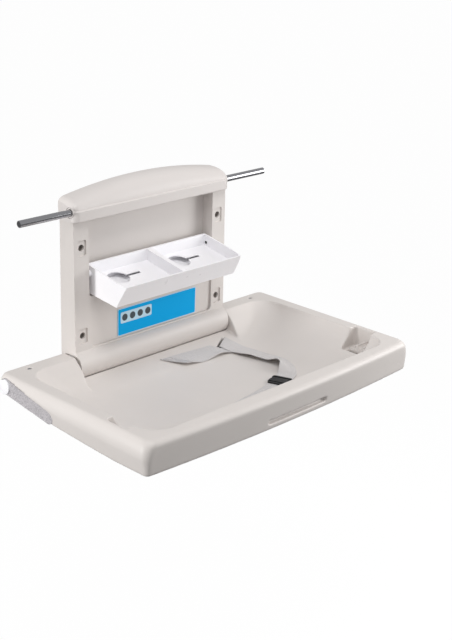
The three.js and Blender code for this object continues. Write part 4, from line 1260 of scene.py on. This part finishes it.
def long_belt(size, floor):
    """The long belt leaves the rear slot, bends with its inner edge lifted and lies flat at the buckle."""
    start, end = Vector((size.slot_x, size.slot_y)), Vector((size.end_x, size.end_y))
    along, length = bezier_path([start, start + Vector(BELT_LEAVE), end + Vector(BELT_ARRIVE), end])
    half = size.width / 2
    over_tail = 2 * size.rest + size.thickness

    def place(s, w):
        spot, way = along(s)
        across = Vector((-way.y, way.x))
        leaning = smooth_step(s, half, half + size.rise)
        leaning *= 1 - smooth_step(s, length - half - size.fall, length - half)
        bend = 1 - smooth_step(abs(s - length * BELT_BEND), BELT_BEND_CORE, BELT_BEND_END)
        tilt = math.radians(BELT_TILT + (BELT_BEND_TILT - BELT_TILT) * bend) * leaning
        plan = spot + across * w * math.cos(tilt)
        settled = over_tail + (size.rest - over_tail) * smooth_step(s, size.over, size.over + size.width)
        low = -size.dip if s < size.turn else settled
        z = floor(plan.x, plan.y) + low + (half - w) * math.sin(tilt)
        normal = (across.x * math.sin(tilt), across.y * math.sin(tilt), math.cos(tilt))
        return (plan.x, plan.y, z), normal

    return place, length


def tail_belt(size, floor):
    """The tail lies in front of the barrel with both ends cut on the slant and its front edge curled."""
    def place(s, w):
        x = size.tail_x + s + size.tail_slant * (0.5 - w / size.width)
        y = size.tail_y - size.tail_drift * s / size.tail_length + w
        front = clamp(0.5 - w / size.width) ** TAIL_CURL_POWER
        curl = size.tail_curl * front * (0.5 + 0.5 * math.cos(2 * math.pi * s / size.tail_wave))
        return (x, y, floor(x, y) + size.rest + curl), UP

    return place, size.tail_length


def front_belt(size, floor):
    """The front belt runs from the buckle to the front slot."""
    way = -Vector(BELT_ARRIVE).normalized()
    start = Vector((size.end_x, size.end_y)) + way * (size.buckle + FRONT_GAP)
    end = Vector((size.front_x, size.front_y))
    apart = (end - start).length
    leave = start + way * apart * FRONT_LEAVE
    along, length = bezier_path([start, leave, end + Vector((0, apart * FRONT_ARRIVE)), end])

    def place(s, w):
        spot, heading = along(s)
        x, y = spot.x - heading.y * w, spot.y + heading.x * w
        lift = -size.dip if s > length - size.turn else size.rest
        return (x, y, floor(x, y) + lift), UP

    return place, length


def stitch_tree():
    """Stitches along a curve: the curve is cut to steps, and a short thread lies at each."""
    number, geometry = "NodeSocketFloat", "NodeSocketGeometry"
    tree = new_group(
        "Stitches", "GeometryNodeTree",
        [("Geometry", geometry, None), ("Step", number, STITCH.step * MM),
         ("Thread", number, STITCH.thread * MM)],
        [("Geometry", geometry)])
    enter = node(tree, "NodeGroupInput").outputs
    cut = node(tree, "GeometryNodeResampleCurve",
               {"Curve": enter["Geometry"], "Length": enter["Step"]}, mode="LENGTH")
    points = node(tree, "GeometryNodeCurveToPoints", {"Curve": cut.outputs["Curve"]}, mode="EVALUATED")
    thread = node(tree, "GeometryNodeMeshUVSphere", {
        "Segments": STITCH.segments, "Rings": STITCH.rings, "Radius": enter["Thread"]})
    longer = node(tree, "GeometryNodeTransform", {
        "Geometry": thread.outputs["Mesh"], "Scale": (1.0, 1.0, STITCH.stretch)})
    sewn = node(tree, "GeometryNodeInstanceOnPoints", {
        "Points": points.outputs["Points"], "Instance": longer.outputs["Geometry"],
        "Rotation": points.outputs["Rotation"]})
    real = node(tree, "GeometryNodeRealizeInstances", {"Geometry": sewn.outputs["Instances"]})
    paint = node(tree, "GeometryNodeSetMaterial", {
        "Geometry": real.outputs["Geometry"], "Material": finish_of("Thread")})
    node(tree, "NodeGroupOutput", {"Geometry": paint.outputs["Geometry"]})
    return tree


def stitches(name, routes):
    """One mesh of stitches along routes given in millimetres."""
    curve = bpy.data.curves.new(name, "CURVE")
    curve.dimensions = "3D"
    for route in routes:
        spline = curve.splines.new("POLY")
        spline.points.add(len(route) - 1)
        for point, spot in zip(spline.points, route):
            point.co = (*(Vector(spot) * MM), 1)
    holder = place_object(name + "_route", curve)
    holder.modifiers.new("Stitches", "NODES").node_group = stitch_tree()
    graph = bpy.context.evaluated_depsgraph_get()
    mesh = bpy.data.meshes.new_from_object(holder.evaluated_get(graph))
    bpy.data.objects.remove(holder)
    bpy.data.curves.remove(curve)
    return shade(place_object(name, mesh))


def stitch_route(place, spots, lift):
    """Route over a strip's upper face through (s, w) spots."""
    route = []
    for (s0, w0), (s1, w1) in zip(spots, spots[1:]):
        count = max(int(math.hypot(s1 - s0, w1 - w0) / STITCH.run), 1)
        for k in range(count + 1):
            t = k / count
            spot, way = place(s0 + (s1 - s0) * t, w0 + (w1 - w0) * t)
            route.append(Vector(spot) + Vector(way) * lift)
    return route


def crossed_box(size):
    """Seams of a sewn end as lists of (s, w): a box and its two diagonals."""
    near, far = STITCH.inset, STITCH.hem
    half = size.width / 2 - near
    box = [(near, -half), (near, half), (far, half), (far, -half), (near, -half)]
    return [box, [(near, -half), (far, half)], [(near, half), (far, -half)]]


class STATION_OT_belt(bpy.types.Operator):
    """Make the belt's three webbing strips and the tail's sewn end, and finish the keepers"""
    bl_idname = "station.belt"
    bl_label = "Belt"

    def execute(self, context):
        size = belt_sizes()
        floor = floor_finder(bed_sizes())
        belts = {
            "belt_long": long_belt(size, floor),
            "belt_tail": tail_belt(size, floor),
            "belt_front": front_belt(size, floor),
        }
        for node_name, (place, length) in belts.items():
            piece = strip(node_name.replace("belt_", "webbing_"), length, place)
            finish_piece(piece, "Webbing", "bed", "webbing", node_name)
        tail, lift = belts["belt_tail"][0], size.thickness + STITCH.lift
        sewn = stitches("tail_stitches", [stitch_route(tail, spots, lift) for spots in crossed_box(size)])
        finish_piece(sewn, "Thread", "bed", "webbing")
        for word in ("rear", "front"):
            coat_node(f"belt_keeper_{word}", "Black plastic")
        return {"FINISHED"}


class STATION_OT_buckle(bpy.types.Operator):
    """Make the side-release buckle that joins the belts"""
    bl_idname = "station.buckle"
    bl_label = "Buckle"

    def execute(self, context):
        merge = 0.01
        flat = math.radians(2)
        for name in ("buckle_tongue", "buckle_socket"):
            shell = place_object(name.replace("buckle_", "clip_"), NODES[name].data.copy())
            with editing(shell.data) as shape:
                bmesh.ops.remove_doubles(shape, verts=shape.verts, dist=merge * MM)
                bmesh.ops.dissolve_limit(shape, angle_limit=flat, verts=shape.verts, edges=shape.edges)
            bevel(shell, width=0.8, segments=3, angle=35)
            finish_piece(shell, "Black plastic", "bed", "black", name)
        return {"FINISHED"}


# Label

LABEL = SimpleNamespace(
    corner=4, edge=1.6, inner_corner=3, field=(9, 30, 108, 58), layer=0.12, sunk=0.2,
    dots=4, dot_x=22, dot_z=44, dot_pitch=24.5, dot_radius=8.6,
)


def label_dots(name, places, radius, front, back):
    """One mesh of plain round dots."""
    sides = 48
    points, faces = [], []
    for x, z in places:
        first = len(points)
        for y in (front, back):
            points += [(u, y, v) for u, v in circle(x, z, radius, sides)]
        faces += [tuple(first + index for index in face) for face in skin(2, sides)]
    return make_piece(name, points, faces)


class STATION_OT_label(bpy.types.Operator):
    """Make the plain blue label with a pale field and four plain dots"""
    bl_idname = "station.label"
    bl_label = "Label"

    def execute(self, context):
        x0, face, z0 = [corner_mm("label_plate", LOW, axis) for axis in (X, Y, Z)]
        x1, back, z1 = [corner_mm("label_plate", HIGH, axis) for axis in (X, Y, Z)]
        plate = prism("label_face", rounded_rect(x0, z0, x1, z1, LABEL.corner), "Y", face, back)
        bevel(plate, width=0.3, segments=2, angle=40)
        finish_piece(plate, "Label pale", "wall", "label", "label_plate")
        edge, layer, sunk = LABEL.edge, LABEL.layer, LABEL.sunk
        blue = rounded_rect(x0 + edge, z0 + edge, x1 - edge, z1 - edge, LABEL.inner_corner)
        ground = prism("label_ground", blue, "Y", face - layer, face + sunk)
        finish_piece(shade(ground, angle=40), "Label blue", "wall", "label")
        left, low, right, high = LABEL.field
        pale = rounded_rect(x0 + left, z0 + low, x0 + right, z0 + high, LABEL.corner)
        field = prism("label_field", pale, "Y", face - 2 * layer, face + sunk)
        finish_piece(shade(field, angle=40), "Label pale", "wall", "label")
        front = face - 3 * layer
        places = [(x0 + LABEL.dot_x + LABEL.dot_pitch * k, z0 + LABEL.dot_z)
                  for k in range(LABEL.dots)]
        dots = label_dots("label_dots", places, LABEL.dot_radius, front, front + sunk)
        finish_piece(shade(dots, angle=40), "Label dots", "wall", "label")
        return {"FINISHED"}


# Stage

# Lamp: place, target, size and power
LAMPS = {
    "Left": ((-2.5, 0.45, 0.12), (0, -0.2, 0.05), 0.45, 31),
    "Right": ((1.35, -1.2, 0.4), (0.1, -0.4, 0.05), 1.1, 15.5),
    "Overhead": ((-0.5, -1.0, 2.4), (0, -0.25, 0), 1.2, 23),
}
WORLD_LIGHT = 0.52
FLOOR_SPREAD = 14.0
FLOOR_ROUGHNESS = 0.8
FLOOR_WHITE = 0.85
FLOOR_GLOW = 1.13
SENSOR_WIDTH = 36
CLIP_END = 50


def add_lamp(name, place, target, size, power):
    """Round area lamp that faces its target."""
    light = bpy.data.lights.new(name, "AREA")
    light.shape = "DISK"
    light.size = size
    light.energy = power
    holder = place_object(name, light)
    holder.location = place
    holder.rotation_mode = "QUATERNION"
    holder.rotation_quaternion = (Vector(target) - Vector(place)).to_track_quat("-Z", "Y")


def add_camera(size):
    """Camera that looks at its target from a distance, pitch and yaw, rolled about its own line."""
    yaw, pitch = math.radians(size.yaw), math.radians(size.pitch)
    back = Vector((math.sin(yaw) * math.cos(pitch), -math.cos(yaw) * math.cos(pitch), math.sin(pitch)))
    camera = bpy.data.cameras.new("Camera")
    camera.lens = size.lens
    camera.sensor_width = SENSOR_WIDTH
    camera.clip_end = CLIP_END
    holder = place_object("Camera", camera)
    holder.location = Vector(size.target) + back * size.distance
    turn = (-back).to_track_quat("-Z", "Y").to_matrix()
    turn = turn @ Matrix.Rotation(math.radians(size.roll), 3, "Z")
    holder.rotation_euler = turn.to_euler()
    return holder


def white_for_camera(tree, shader, output, share, strength):
    """Lets camera rays meet plain white, and keeps the shader for the light."""
    path = node(tree, "ShaderNodeLightPath")
    kind = "ShaderNodeBackground" if shader.bl_idname == "ShaderNodeBackground" else "ShaderNodeEmission"
    glow = node(tree, kind, {"Color": WHITE, "Strength": strength})
    part = reckon(tree, "MULTIPLY", path.outputs["Is Camera Ray"], share)
    mix = node(tree, "ShaderNodeMixShader", {"Fac": part, 1: shader.outputs[0], 2: glow.outputs[0]})
    feed(tree, output, {"Surface": mix.outputs[0]})


def add_world():
    """Soft even light that the camera sees as white."""
    world = bpy.data.worlds.new("Studio")
    world.use_nodes = True
    tree = world.node_tree
    soft = tree.nodes["Background"]
    feed(tree, soft, {"Color": WHITE, "Strength": WORLD_LIGHT})
    white_for_camera(tree, soft, tree.nodes["World Output"], 1.0, 1.0)
    return world


def add_floor(drop):
    """Pale floor below the station."""
    corners = [(x * FLOOR_SPREAD, y * FLOOR_SPREAD, -drop) for x, y in ((-1, -1), (1, -1), (1, 1), (-1, 1))]
    mesh = bpy.data.meshes.new("floor")
    mesh.from_pydata(corners, [], [(0, 1, 2, 3)])
    floor = place_object("floor", mesh)
    material, tree, shader = material_shell("Pale floor")
    feed(tree, shader, {"Base Color": (*colours().floor, 1), "Roughness": FLOOR_ROUGHNESS})
    white_for_camera(tree, shader, tree.nodes["Material Output"], FLOOR_WHITE, FLOOR_GLOW)
    mesh.materials.append(material)


class STATION_OT_stage(bpy.types.Operator):
    """Set up the camera, lights, floor and background"""
    bl_idname = "station.stage"
    bl_label = "Stage"

    def execute(self, context):
        scene = context.scene
        scene.view_settings.view_transform = "Standard"
        scene.camera = add_camera(scene.station_stage)
        scene.world = add_world()
        for name, values in LAMPS.items():
            add_lamp(name, *values)
        add_floor(scene.station_stage.drop)
        return {"FINISHED"}


# Add-on

OPERATORS = (
    STATION_OT_stage, STATION_OT_bed, STATION_OT_wall_frame, STATION_OT_hood, STATION_OT_latch,
    STATION_OT_dispenser, STATION_OT_hinge, STATION_OT_belt, STATION_OT_buckle, STATION_OT_label,
)


class STATION_PT_panel(bpy.types.Panel):
    """Lists the station's pieces"""
    bl_idname = "STATION_PT_panel"
    bl_label = "Changing station"
    bl_space_type = "VIEW_3D"
    bl_region_type = "UI"
    bl_category = "Station"

    def draw(self, context):
        for operator in OPERATORS:
            self.layout.operator(operator.bl_idname)


SETTINGS = {
    "station_colours": StationColours,
    "station_bed": BedSizes,
    "station_belt": BeltSizes,
    "station_stage": StageSizes,
}
CLASSES = (*SETTINGS.values(), *OPERATORS, STATION_PT_panel)


def register():
    for cls in CLASSES:
        bpy.utils.register_class(cls)
    for name, cls in SETTINGS.items():
        setattr(bpy.types.Scene, name, bpy.props.PointerProperty(type=cls))


def unregister():
    for name in SETTINGS:
        delattr(bpy.types.Scene, name)
    for cls in reversed(CLASSES):
        bpy.utils.unregister_class(cls)


def main():
    register()
    for operator in OPERATORS:
        group, name = operator.bl_idname.split(".")
        getattr(getattr(bpy.ops, group), name)()


if __name__ == "__main__":
    main()
